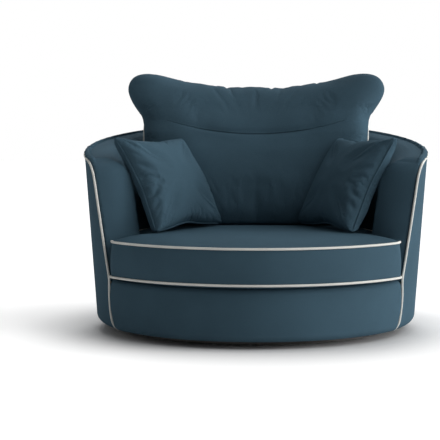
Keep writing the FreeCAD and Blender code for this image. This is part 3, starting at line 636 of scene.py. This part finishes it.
# The body piping: a cord in bias-cut off-white cloth, sewn into the seam between wall and outer cover.
# It runs up one arm's front edge, over the corner, round the rim and down the other arm.

def node_tree(name, **inputs):
    """A tree of Geometry Nodes with named inputs, the call that adds to it, and its inputs' sockets."""
    tree = bpy.data.node_groups.new(name, "GeometryNodeTree")
    for label, kind in inputs.items():
        tree.interface.new_socket(label, in_out="INPUT", socket_type="NodeSocket" + kind)
    tree.interface.new_socket("Geometry", in_out="OUTPUT", socket_type="NodeSocketGeometry")

    def add(kind, sockets, **settings):
        return add_node(tree, kind if "Node" in kind else "GeometryNode" + kind, sockets, **settings)

    return tree, add, add("NodeGroupInput", {})


def dressed_end(add, shape, material):
    """Ends a tree with one material on all of its shape."""
    dressed = add("SetMaterial", {"Geometry": shape[0], "Material": material})
    add("NodeGroupOutput", {0: dressed[0]})


def grown(obj, tree, **values):
    """Runs a tree on the piece, with its inputs set by name, and keeps the result."""
    step = obj.modifiers.new(tree.name, "NODES")
    step.node_group = tree
    for item in tree.interface.items_tree:
        if item.in_out == "INPUT" and item.name in values:
            step[item.identifier] = values[item.name]
    return kept_result(obj)


def piping_tree():
    """Geometry Nodes that sweep a round cord along a line of edges, with a grain map along it."""
    tree, add, given = node_tree("piping", Geometry="Geometry", Radius="Float", Spacing="Float", Cloth="Material")
    line = add("MeshToCurve", {"Mesh": given["Geometry"]})
    even = add("ResampleCurve", {"Curve": line[0], "Length": given["Spacing"]}, mode="LENGTH")
    ring = add("CurvePrimitiveCircle", {"Resolution": 12, "Radius": given["Radius"]})
    along = add("SplineParameter", {})
    marked, marks = [], []
    for curve, mark in ((even, "run"), (ring, "turn")):
        told = {"Geometry": curve[0], "Name": mark, "Value": along["Length"]}
        marked.append(add("StoreNamedAttribute", told, data_type="FLOAT", domain="POINT"))
        marks.append(add("InputNamedAttribute", {"Name": mark}, data_type="FLOAT"))
    along_line = {"Curve": marked[0][0], "Profile Curve": marked[1][0], "Fill Caps": True}
    swept = add("CurveToMesh", along_line)
    pair = add("ShaderNodeCombineXYZ", {0: marks[0][0], 1: marks[1][0]})
    told = {"Geometry": swept[0], "Name": "grain", "Value": pair[0]}
    mapped = add("StoreNamedAttribute", told, data_type="FLOAT2", domain="CORNER")
    dressed_end(add, add("SetShadeSmooth", {"Geometry": mapped[0]}), given["Cloth"])
    return tree


def piped(name, path, radius, material, closed=False, spacing=0.006):
    """A piece of piping along a path of points."""
    edges = [(i, i + 1) for i in range(len(path) - 1)] + ([(len(path) - 1, 0)] if closed else [])
    mesh = bpy.data.meshes.new(name)
    mesh.from_pydata([tuple(p) for p in path], edges, [])
    return grown(linked(name, mesh), piping_nodes, Radius=radius, Spacing=spacing, Cloth=material)


def smooth_path(points, closed=False, rounds=6):
    """Evens out small kinks in a path."""
    points = np.array([tuple(p) for p in points], float)
    for _ in range(rounds):
        if closed:
            points = points / 2 + (np.roll(points, 1, axis=0) + np.roll(points, -1, axis=0)) / 4
        else:
            points[1:-1] = points[1:-1] / 2 + (points[:-2] + points[2:]) / 4
    return points


def rim_path():
    """The right half of the edge where the arm face and the rim meet the tub's outside, from the foot up."""
    planes = arm_planes(drop=rim_drop, cuts=24)
    fold = (fold_radius, fold_level)
    start, level = radians(100), 0.40

    def on_wall(angle, height):
        return Vector(polar(angle, wall_radius(height), height))

    def inside(angle, height):
        at = on_wall(angle, height)
        return min((at - point).dot(normal) for point, normal in planes) > 0

    def edge_from(angle, height, turn, rise):
        low, high = 0.0, 1.5
        for _ in range(40):
            half = (low + high) / 2
            low, high = (half, high) if inside(angle + turn * half, height + rise * half) else (low, half)
        return on_wall(angle + turn * low, height + rise * low)

    path = []
    for r, z in bend(fold, wall_radius(fold_level) - fold_radius, fold_rise, -62, -8, 7):
        path.append(Vector(polar(radians(face_turn(z, r, gap=0.0)), r, z)))
    path += [edge_from(start, z, -1, 0) for z in np.linspace(0.065, level, 34)]
    path += [edge_from(start, level, -cos(t) / 0.6, sin(t)) for t in np.radians(np.linspace(2, 90, 60))]
    path += [edge_from(a, level, 0, 1) for a in np.radians(np.linspace(101.5, 180, 60))]
    return path


piping_radius, bias_cut = 0.0042, radians(45)
cream = rgb(234, 234, 228)
piping_cream = cloth("piping_cream", cream, thread=0.0008, bias=bias_cut, relief=0.00012, dull=0.97, pale=1.05)
piping_nodes = piping_tree()
right_edge = rim_path()
body_line = [Vector((-p.x, p.y, p.z)) for p in right_edge] + right_edge[-2::-1]
body_piping = piped("body_piping_cord", bow_out(smooth_path(body_line)), piping_radius, piping_cream)
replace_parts(body_piping, "body_piping")
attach(body_piping, "tub")


# The dust cloth: thin black non-woven cloth stapled under the frame, round the turntable.
# It sags a little between its edges, and a row of steel staples holds its outer edge.

web = dict(tones=(rgb(20, 20, 21), rgb(38, 38, 40)), Specular_IOR_Level=0.2)
dust_black = speckled("dust_black", (300.0, 5.0, 0.7), roughness=0.7, spread=0.2, relief=0.0001, **web)
dust_profile = [(0.2105, 0.0326), (0.26, 0.0319), (0.33, 0.0313), (0.40, 0.0313), (0.47, 0.0318),
                (0.541, 0.0326), (0.541, 0.0330), (0.47, 0.0323), (0.40, 0.0318), (0.33, 0.0318),
                (0.26, 0.0324), (0.2105, 0.0330)]
dust = turned_piece("dust_cloth", dust_profile, dust_black, closed=True)
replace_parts(dust, "dust_cover")
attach(dust, "tub")


def staple_tree():
    """Geometry Nodes that set a flat wire staple at even steps round a circle."""
    sizes = dict.fromkeys(("Radius", "Height", "Width", "Wire Width", "Wire Depth"), "Float")
    tree, add, given = node_tree("staples", Geometry="Geometry", Count="Int", Steel="Material", **sizes)
    circle = add("CurvePrimitiveCircle", {"Resolution": given["Count"], "Radius": given["Radius"]})
    lift = add("ShaderNodeCombineXYZ", {2: given["Height"]})
    lifted = add("SetPosition", {"Geometry": circle[0], "Offset": lift[0]})
    size = add("ShaderNodeCombineXYZ", {0: given["Width"], 1: given["Wire Width"], 2: given["Wire Depth"]})
    wire = add("MeshCube", {"Size": size[0]})
    tangent = add("InputTangent", {})
    facing = add("FunctionNodeAlignEulerToVector", {"Vector": tangent[0]}, axis="X")
    placed = {"Points": lifted[0], "Instance": wire[0], "Rotation": facing[0]}
    row = add("InstanceOnPoints", placed)
    dressed_end(add, add("RealizeInstances", {"Geometry": row[0]}), given["Steel"])
    return tree


staples = piece("dust_staples", [(0, 0, 0)], [], screw_zinc)
wire_sizes = {"Width": 0.010, "Wire Width": 0.0012, "Wire Depth": 0.0006}
grown(staples, staple_tree(), Count=84, Radius=0.532, Height=0.0322, Steel=screw_zinc, **wire_sizes)
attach(staples, "tub")


# The seat cushion: a foam block wrapped in wadding, in a boxed cover cut to the tub's plan.
# Top and bottom panels meet the boxing in piped seams; the top is crowned and the boxing bulges.

seam_low, seam_high = 0.2245, 0.3485


def face_point(lead, ahead, radius):
    """A point in plan ahead of the right arm's face line, at a radius from the axis."""
    off = lead * sin(face_angle) + ahead
    along = sqrt(radius ** 2 - off ** 2)
    return np.array([along * sin(face_angle) - off * cos(face_angle),
                     -along * cos(face_angle) - off * sin(face_angle)])


def swept_arc(centre, start, end, radius, count):
    """Points round a centre between two directions, the short way."""
    a, b = atan2(start[1], start[0]), atan2(end[1], end[0])
    b = a + (b - a + pi) % (2 * pi) - pi
    turns = np.linspace(a, b, count, endpoint=False)
    return [centre + radius * np.array([cos(t), sin(t)]) for t in turns]


def seat_outline(offset, level, count=512):
    """The cushion's plan at a level, grown by an offset, as evenly spaced points from the front's middle."""
    play, front_radius, tip_low, tip_gain = 0.0106, 0.618, 0.048, 0.040
    lead = face_lead - arm_slope * (level - deck_height)
    gap = play - offset
    rise = (level - seam_low) / (seam_high - seam_low)
    front, tip = front_radius + offset, tip_low + tip_gain * rise + offset
    back, nook = wall_radius(level, wall_depth) - gap, max(0.010 - offset, 0.002)
    ahead = np.array([-cos(face_angle), -sin(face_angle)])
    tip_centre, nook_centre = face_point(lead, gap + tip, front - tip), face_point(lead, gap - nook, back + nook)
    tip_turn, nook_turn = (atan2(centre[0], -centre[1]) for centre in (tip_centre, nook_centre))
    half = np.array([
        *(polar(t, front)[:2] for t in np.linspace(0, tip_turn, 160, endpoint=False)),
        *swept_arc(tip_centre, tip_centre, -ahead, tip, 24),
        *np.linspace(tip_centre - ahead * tip, nook_centre + ahead * nook, 24, endpoint=False),
        *swept_arc(nook_centre, ahead, -nook_centre, nook, 10),
        *(polar(t, back)[:2] for t in np.linspace(nook_turn, pi, 200)),
    ])
    loop = np.concatenate([half, (half * [-1, 1])[-2:0:-1], half[:1]])
    run = np.concatenate([[0], np.cumsum(np.linalg.norm(np.diff(loop, axis=0), axis=1))])
    at = np.linspace(0, run[-1], count, endpoint=False)
    return np.stack([np.interp(at, run, loop[:, 0]), np.interp(at, run, loop[:, 1])], axis=1)


def plump(obj, pressure, slack, cap, frames=14):
    """Inflates a closed cover by cloth simulation and keeps each point within a cap of where it was."""
    before = coordinates(obj)[0]
    step = obj.modifiers.new("plump", "CLOTH")
    set_all(
        step.settings, quality=5, mass=0.25, tension_stiffness=18, compression_stiffness=18, shear_stiffness=6,
        bending_stiffness=0.6, air_damping=2, use_pressure=True, uniform_pressure_force=pressure,
        shrink_min=-slack,
    )
    step.settings.effector_weights.gravity = 0
    step.point_cache.frame_end = frames
    for number in range(1, frames + 1):
        scene.frame_set(number)
    shape = obj.evaluated_get(bpy.context.evaluated_depsgraph_get())
    moved = read(shape.data.vertices, "co") - before
    obj.modifiers.clear()
    scene.frame_set(1)
    far = np.linalg.norm(moved, axis=1, keepdims=True)
    return move_to(obj, before + moved * (cap * np.tanh(far / cap) / np.maximum(far, 1e-9)))


def closed_form(name, points, columns, material):
    """A closed piece from rows of points that run round it, with its first and last row filled."""
    rows = len(points) // columns
    faces = grid_faces(rows, columns, round_columns=True)
    faces += [tuple(range(columns))[::-1], tuple(range((rows - 1) * columns, rows * columns))]
    return outward(piece(name, points, faces, material))


def seat_row(offset, level, share, height):
    """The cushion's plan, shrunk towards its heart and laid at a height."""
    heart = np.array([0, -0.06])
    plan = heart + (seat_outline(offset, level) - heart) * share
    return np.column_stack([plan, np.full(len(plan), height)])


top_crown, boxing_bulge, bottom_crown = 0.027, 0.005, 0.0137
seat_rows = []
for share, rise in (
    (0.004, 1.0), (0.1, 1.0), (0.2, 0.998), (0.3, 0.99), (0.4, 0.975), (0.5, 0.95), (0.6, 0.91), (0.68, 0.86),
    (0.75, 0.795), (0.81, 0.71), (0.86, 0.61), (0.90, 0.50), (0.93, 0.395), (0.955, 0.285), (0.975, 0.18),
    (0.99, 0.085),
):
    seat_rows.append(seat_row(0, seam_high, share, seam_high + top_crown * rise))
for t in np.linspace(1, 0, 19):
    level = seam_low + (seam_high - seam_low) * t
    seat_rows.append(seat_row(boxing_bulge * sin(t * pi) ** 0.7, level, 1, level))
for share, fall in ((0.985, 0.35), (0.96, 0.75), (0.93, 1.0), (0.6, 1.0), (0.3, 1.0), (0.004, 1.0)):
    seat_rows.append(seat_row(0, seam_low, share, seam_low - bottom_crown * fall))
seat_blue = cloth("seat_blue", slate)
seat_cushion = closed_form("seat_cushion", np.concatenate(seat_rows), len(seat_rows[0]), seat_blue)
lay_grain(seat_cushion)
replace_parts(seat_cushion, "seat_cushion_cover", "seat_cushion_foam")
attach(seat_cushion, "seat_cushion")

for name, level, node in (("seat_piping_upper", seam_high, "seat_cushion_piping_top"),
                          ("seat_piping_lower", seam_low, "seat_cushion_piping_bottom")):
    plan = seat_outline(offset=0.0032, level=level, count=720)
    dip, beside = 0.0055, ramp(plan[:, 1] + 0.330, 0.04) * ramp(0.05 - plan[:, 1], 0.05)
    cord = piped(name, np.column_stack([plan, level - dip * beside]), piping_radius, piping_cream, closed=True)
    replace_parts(cord, node)
    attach(cord, "seat_cushion")


# The back cushion: a fibre-filled pillow with a rolled head, an ear at each end and piping round its rear edge.
# It is cut fuller than its filling, so the head's seam and the top edge draw it into small gathers.

def surface(obj):
    """The piece's surface, for casting points on it."""
    mesh = obj.data
    return BVHTree.FromPolygons([tuple(v.co) for v in mesh.vertices], [tuple(f.vertices) for f in mesh.polygons])


def cast(tree, start, way):
    """Where a line from a point in a direction meets the surface."""
    return tree.ray_cast(Vector(start), Vector(way))[0]


def press(points, normals, line, depth, width, ridge=0.3):
    """Presses a crease along a line of points, with a low ridge on both sides; it fades towards its ends."""
    line = np.array([tuple(p) for p in line if p is not None], float)
    best, fade = np.full(len(points), 9.0), np.zeros(len(points))
    count = len(line) - 1
    for i in range(count):
        a, b = line[i], line[i + 1]
        t = np.clip(((points - a) @ (b - a)) / ((b - a) @ (b - a)), 0, 1)
        away = np.linalg.norm(points - (a + t[:, None] * (b - a)), axis=1)
        closer = away < best
        best = np.where(closer, away, best)
        fade = np.where(closer, np.sin(np.clip((i + t) / count, 0, 1) * pi) ** 0.7, fade)
    dip = bell(best, width) - ridge * bell(best - 2.1 * width, 1.1 * width)
    return points - normals * (depth * dip * fade)[:, None]


def seat_flat(points, gap, soft=0.02):
    """Flattens a cushion softly where it rests on the seat, a gap above the seat's own surface."""
    points = points.copy()
    for i in np.flatnonzero(points[:, 2] < seat_top + gap + soft):
        x, y, z = points[i]
        under = cast(seat_surface, (x, y, 0.5), (0, 0, -1))
        level = (under.z if under else seam_high) + gap
        if z < level + soft:
            points[i, 2] = level + soft * exp((z - level - soft) / soft)
    return points


seat_top, seat_surface = 0.375, surface(seat_cushion)

# The outline's reach from its middle, by degrees up from sideways.
outline_marks = [
    (-90, 0.36), (-60, 0.41), (-45, 0.462), (-35, 0.468), (-20, 0.445), (-8, 0.434), (2, 0.428), (6, 0.431),
    (10.3, 0.441), (15.5, 0.459), (20.0, 0.504), (23.9, 0.538), (27.0, 0.545), (30.2, 0.540), (33.3, 0.515),
    (36.2, 0.468), (39.3, 0.413), (44.6, 0.355), (53.8, 0.297), (65.5, 0.255), (78, 0.239), (90, 0.236),
]
mark_turns, mark_reach = np.array(outline_marks).T
back_middle = 0.66
back_turns = np.linspace(-pi, pi, 360, endpoint=False)
back_reach = np.interp(np.arcsin(np.sin(back_turns)), np.radians(mark_turns), mark_reach)
for _ in range(4):
    back_reach = back_reach / 2 + (np.roll(back_reach, 1) + np.roll(back_reach, -1)) / 4
# By height: how far back the cushion's middle lies, half its thickness, and how far its sides come forward.
back_form = np.array([
    (0.30, 0.155, 0.130, 0.014), (0.383, 0.164, 0.146, 0.018), (0.45, 0.180, 0.162, 0.042),
    (0.512, 0.196, 0.166, 0.063), (0.60, 0.240, 0.161, 0.100), (0.66, 0.270, 0.155, 0.127),
    (0.717, 0.302, 0.150, 0.151), (0.76, 0.320, 0.152, 0.116), (0.807, 0.335, 0.148, 0.090),
    (0.86, 0.347, 0.140, 0.075), (0.90, 0.356, 0.132, 0.066), (0.96, 0.362, 0.122, 0.06),
])
half_width, edge_fullness = 0.490, 2.2


def row_shares(inner, outer):
    """Shares of an outline from near its middle to its edge, closer together towards the edge."""
    return np.concatenate([np.linspace(0.004, 0.9, inner), np.sin(np.linspace(1.14, pi / 2, outer))])


def back_row(share, side):
    """Points round the cushion at a share of its outline, on its front (-1) or rear (1) side."""
    x, z = share * back_reach * np.cos(back_turns), back_middle + share * back_reach * np.sin(back_turns)
    spine, half, bow = (np.interp(z, back_form[:, 0], back_form[:, i]) for i in (1, 2, 3))
    full = np.sqrt(np.maximum(1 - share ** edge_fullness, 0))
    return np.column_stack([x, spine - bow * (x / half_width) ** 2 + side * half * full, z])


back_shares = row_shares(30, 14)
back_rows = [back_row(q, -1) for q in back_shares] + [back_row(q, 1) for q in back_shares[-2::-1]]
back_blue = cloth("back_blue", slate, seam=True)
back_cushion = closed_form("back_pillow", np.concatenate(back_rows), len(back_turns), back_blue)
plump(remeshed(back_cushion, size=0.0056, rounds=4), pressure=4.0, slack=0.02, cap=0.012)
points, normals = coordinates(back_cushion)
points = points + normals * (wander(points, size=0.20, seed=11) * 0.0022)[:, None]
head_seam, seam_rise, seam_dip, roll_over = 0.718, 0.43, 0.006, 0.003
above = points[:, 2] - (head_seam + seam_rise * points[:, 0] ** 2)
held = np.where(normals[:, 1] < -0.25, 1 - ramp(np.abs(points[:, 0]) - 0.18, 0.16), 0.0)
rolled = bell(above, 0.012) * seam_dip - bell(above - 0.04, 0.03) * roll_over
fold = np.where(above > 0, rolled, bell(above, 0.008) * seam_dip)
move_to(back_cushion, points - normals * (fold * held)[:, None])
set_seam(back_cushion, np.where(held > 0, above + np.sign(above) * (1 - held) * 0.004, 1.0))
random = np.random.default_rng(5)
tree, head_back, gather_width = surface(back_cushion), 0.375, 0.0065
for x, deep in (
    (-0.415, 0.0015), (-0.29, 0.0015), (-0.158, 0.0015), (-0.109, 0.0035), (-0.04, 0.001), (0.064, 0.004),
    (0.13, 0.001), (0.19, 0.001), (0.25, 0.0035), (0.37, 0.001),
):
    lean = random.uniform(-0.03, 0.03)
    long = 0.05 + deep * 9
    line = [cast(tree, (x + lean * t, head_back - long * t, 1.2), (0, 0, -1)) for t in np.linspace(-0.3, 1, 8)]
    move_to(back_cushion, press(*coordinates(back_cushion), line, deep, gather_width))
move_to(back_cushion, seat_flat(coordinates(back_cushion)[0], gap=0.0008))
lay_grain(back_cushion)
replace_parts(back_cushion, "back_cushion")
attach(back_cushion, "back_cushion")


def laid_on(skin, path, lift, rounds):
    """A closed path put on a surface, lifted off it a little and evened out."""
    hits = [skin.find_nearest(Vector(p)) for p in path]
    return smooth_path([hit[0] + hit[1] * lift for hit in hits], closed=True, rounds=rounds)


off_side = np.abs(np.arcsin(np.sin(back_turns)) - radians(-20))
rear_share = np.interp(off_side, np.radians([0, 28, 42]), [1.0, 1.0, 0.93])
rear_edge = back_row(rear_share, 1) + [0, 0.012, 0]
rear_edge = laid_on(surface(back_cushion), rear_edge, lift=0.0012, rounds=8)
rear_edge = seat_flat(rear_edge, gap=0.0045, soft=0.004)
back_piping_radius = 0.0038
back_piping = piped("back_piping_cord", rear_edge, back_piping_radius, piping_cream, closed=True)
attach(back_piping, "back_cushion")


# The scatter cushions: square fibre-filled pillows with a self-covered welt and drawn-out corners.
# Each leans in its corner of the tub, against the arm and the back cushion, with short creases at its seams.

scatter_blue = cloth("scatter_blue", slate)
welt_blue = cloth("welt_blue", slate, thread=0.0008, bias=bias_cut)
welt_radius, crease_width, dent_width = 0.0034, 0.0055, 0.011
half_side, half_thickness, quarter = 0.180, 0.061, pi / 4
scatter_turns = np.linspace(-pi, pi, 288, endpoint=False)
off_corner = (scatter_turns + quarter) % (pi / 2) - quarter
pinch = np.where(np.abs(scatter_turns) < quarter, -0.04, 0.05)
scatter_reach = half_side / np.cos(off_corner) * (1 - pinch * np.cos(off_corner * 2) ** 2)
ear = 0.025 + 0.045 * bell(scatter_turns - 0.75 * pi, 0.3)
scatter_reach *= 1 + ear * bell(np.abs(off_corner) - quarter, 0.05)
scatter_outline = np.column_stack([np.cos(scatter_turns), np.sin(scatter_turns), 0 * scatter_turns])
scatter_outline *= scatter_reach[:, None]


def curl_corner(flat):
    """Draws a pillow's upper inner corner in and down, where it leans on the back cushion."""
    share = ramp(flat[:, 0], half_side) * ramp(flat[:, 1], half_side) ** 2
    return flat - share[:, None] * np.array([0.034, 0.014, 0])


# Each pillow: its side, the directions of its width and height, and the place of its middle.
for side, across, upward, place in (
    (-1, (0.60, 0.80, 0.02), (-0.42, 0.24, 0.875), (-0.316, -0.073, 0.5425)),
    (1, (-0.48, 0.877, 0.02), (0.40, 0.20, 0.88), (0.330, -0.066, 0.5405)),
):
    across, upward = Vector(across).normalized(), Vector(upward)
    upward = (upward - across * upward.dot(across)).normalized()
    facing = across.cross(upward) * -side
    turned_frame, middle = np.array([across, upward, facing]), np.array(place)
    rows = []
    for q in row_shares(22, 12):
        half = half_thickness * (1 - q ** 2.4) ** 0.58
        rows.append(curl_corner(scatter_outline * q) + [0, 0, half])
    rows += [r * [1, 1, -1] for r in rows[-2::-1]]
    name = "scatter_pillow_" + ("left" if side < 0 else "right")
    pillow = closed_form(name, np.concatenate(rows) @ turned_frame + middle, len(scatter_turns), scatter_blue)
    plump(remeshed(pillow, size=0.0046, rounds=2), pressure=4.0, slack=0.03, cap=0.012)
    random = np.random.default_rng(20 + side)
    tree = surface(pillow)
    points, normals = coordinates(pillow)
    points = points + normals * (wander(points, size=0.12, seed=30 + side) * 0.0025)[:, None]
    # Each crease: its turn round the edge, its reach inwards, its depth, its swerve and its width.
    creases = []
    for edge_turn in np.radians(np.arange(-180, 180, 7.5)) + random.uniform(-0.05, 0.05, 48):
        square_on = abs((edge_turn + quarter) % (pi / 2) - quarter)
        if random.uniform() < 0.55 or square_on > 0.6:
            drawn = (random.uniform(*span) for span in ((0.10, 0.24), (0.0006, 0.0017), (-0.10, 0.10)))
            creases.append((edge_turn, *drawn, crease_width))
    for past_side, long, deep, swerve in (
        (-0.46, 0.40, 0.006, 0.22), (-0.16, 0.34, 0.008, 0.12), (0.10, 0.40, 0.007, 0.02),
        (0.36, 0.30, 0.008, -0.12), (-quarter, 0.30, 0.006, 0.06), (0.58, 0.22, 0.005, -0.1),
    ):
        creases.append((pi + past_side, long, deep, swerve, dent_width))
    for edge_turn, long, deep, swerve, wide in creases:
        edge = np.interp(edge_turn, scatter_turns, scatter_reach, period=2 * pi)
        line = []
        for t in np.linspace(0, 1, 7):
            reach, turn = edge * (0.985 - long * t), edge_turn + swerve * t
            start = np.array([reach * cos(turn), reach * sin(turn), 0.3]) @ turned_frame + middle
            line.append(cast(tree, start, -facing))
        if sum(p is not None for p in line) > 3:
            points = press(points, normals, line, deep, wide)
    move_to(pillow, seat_flat(points, gap=0.001))
    lay_grain(pillow)
    body = "scatter_left" if side < 0 else "scatter_right"
    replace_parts(pillow, "scatter_cushion_left" if side < 0 else "scatter_cushion_right")
    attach(pillow, body)
    edge = seat_flat(curl_corner(scatter_outline) @ turned_frame + middle, gap=0.003, soft=0.006)
    edge = laid_on(surface(pillow), edge, lift=0.0008, rounds=4)
    welt = piped(name + "_welt", edge, welt_radius, welt_blue, closed=True)
    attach(welt, body)


# The studio: a white floor that keeps the chair's soft shadow, partly real and partly painted shadow where its
# glow is dimmed near the chair, a low broad key light from the right and weaker lamps round it. The camera stands
# 6.3 m away, 0.9 m above the floor, as in the photograph.

studio = Paint("floor_white", Specular_IOR_Level=0.1)
speck = studio.noise(40.0)
white = studio.blend(speck, (0.85, 0.85, 0.85, 1), (0.87, 0.87, 0.87, 1))
studio.feed(Base_Color=white, Roughness=speck * 0.1 + 0.85)
glow_strength, painted_shadow_reach = 0.56, 0.5
# The floor's glow, seen by the camera, dims where ambient occlusion finds the chair close by. This is a painted
# contact shadow added to the real one.
painted_shadow_share = studio.node("AmbientOcclusion", {"Distance": painted_shadow_reach}, "AO", samples=8)
glow = studio.node("Emission", {"Strength": painted_shadow_share.ease(0.46, 0.975) * glow_strength})
dark = studio.node("Emission", {"Strength": 0.0})
ray = studio.node("LightPath", {}, "Is Camera Ray")
looked_at = ray.math("MAXIMUM", ray, ray.math("MAXIMUM", ray["Is Glossy Ray"], ray["Is Transmission Ray"]))
seen = studio.node("MixShader", {0: looked_at, 1: dark, 2: glow})
lit = studio.node("AddShader", {0: Wire(studio, studio.shader.outputs[0]), 1: seen})
studio.tree.links.new(lit.socket, studio.tree.nodes["Material Output"].inputs["Surface"])
floor_corners = [(-9, -7, 0), (9, -7, 0), (9, 14, 0), (-9, 14, 0)]
floor = piece("studio_floor", floor_corners, [(0, 1, 2, 3)], studio.material, smooth=False)
floor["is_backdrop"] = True

world = bpy.data.worlds.new("studio")
scene.world = world
world.use_nodes = True
air = world.node_tree
rays = add_node(air, "ShaderNodeLightPath", {})
seen_white = rays["Is Camera Ray"]
for kind in ("Is Glossy Ray", "Is Transmission Ray"):
    seen_white = add_node(air, "ShaderNodeMath", {0: seen_white, 1: rays[kind]}, operation="MAXIMUM")[0]
strength = add_node(air, "ShaderNodeMapRange", {"Value": seen_white, "To Min": 0.10, "To Max": 1.0})
air.links.new(strength[0], air.nodes["Background"].inputs["Strength"])
air.nodes["Background"].inputs["Color"].default_value = (1, 1, 1, 1)

# Each lamp: degrees round from the front and up from the floor, its width in degrees and its strength.
for name, azimuth, elevation, width, power in (
    ("overhead", 0, 90, 100, 0.16), ("key", 90, 5, 30, 2.6), ("key_high", 90, 45, 40, 0.33),
    ("front_right", 60, 15, 30, 0.32), ("front_right_high", 60, 45, 40, 0.66), ("left", -90, 20, 40, 0.21),
    ("rim", 180, 40, 40, 0.95),
):
    light = bpy.data.lights.new(name, "SUN")
    light.angle, light.energy = radians(width), power
    up = radians(elevation)
    way = Vector(polar(radians(azimuth), cos(up), sin(up)))
    linked(name, light).rotation_euler = way.to_track_quat("Z", "Y").to_euler()

camera = bpy.data.cameras.new("camera")
camera.lens, camera.sensor_width = 138.4, 36
distance, eye_height, looks_down, looks_left = 6.27, 0.888, 4.46, 1.21
scene.camera = linked("camera", camera)
scene.camera.location = (0, -distance, eye_height)
scene.camera.rotation_euler = (radians(90 - looks_down), 0, radians(looks_left))

scene.view_settings.view_transform = "Standard"

plain = [[[float(v) for v in corner] for corner in box] for box in (cad_box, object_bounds())]
{"cad": plain[0], "visual": plain[1]}
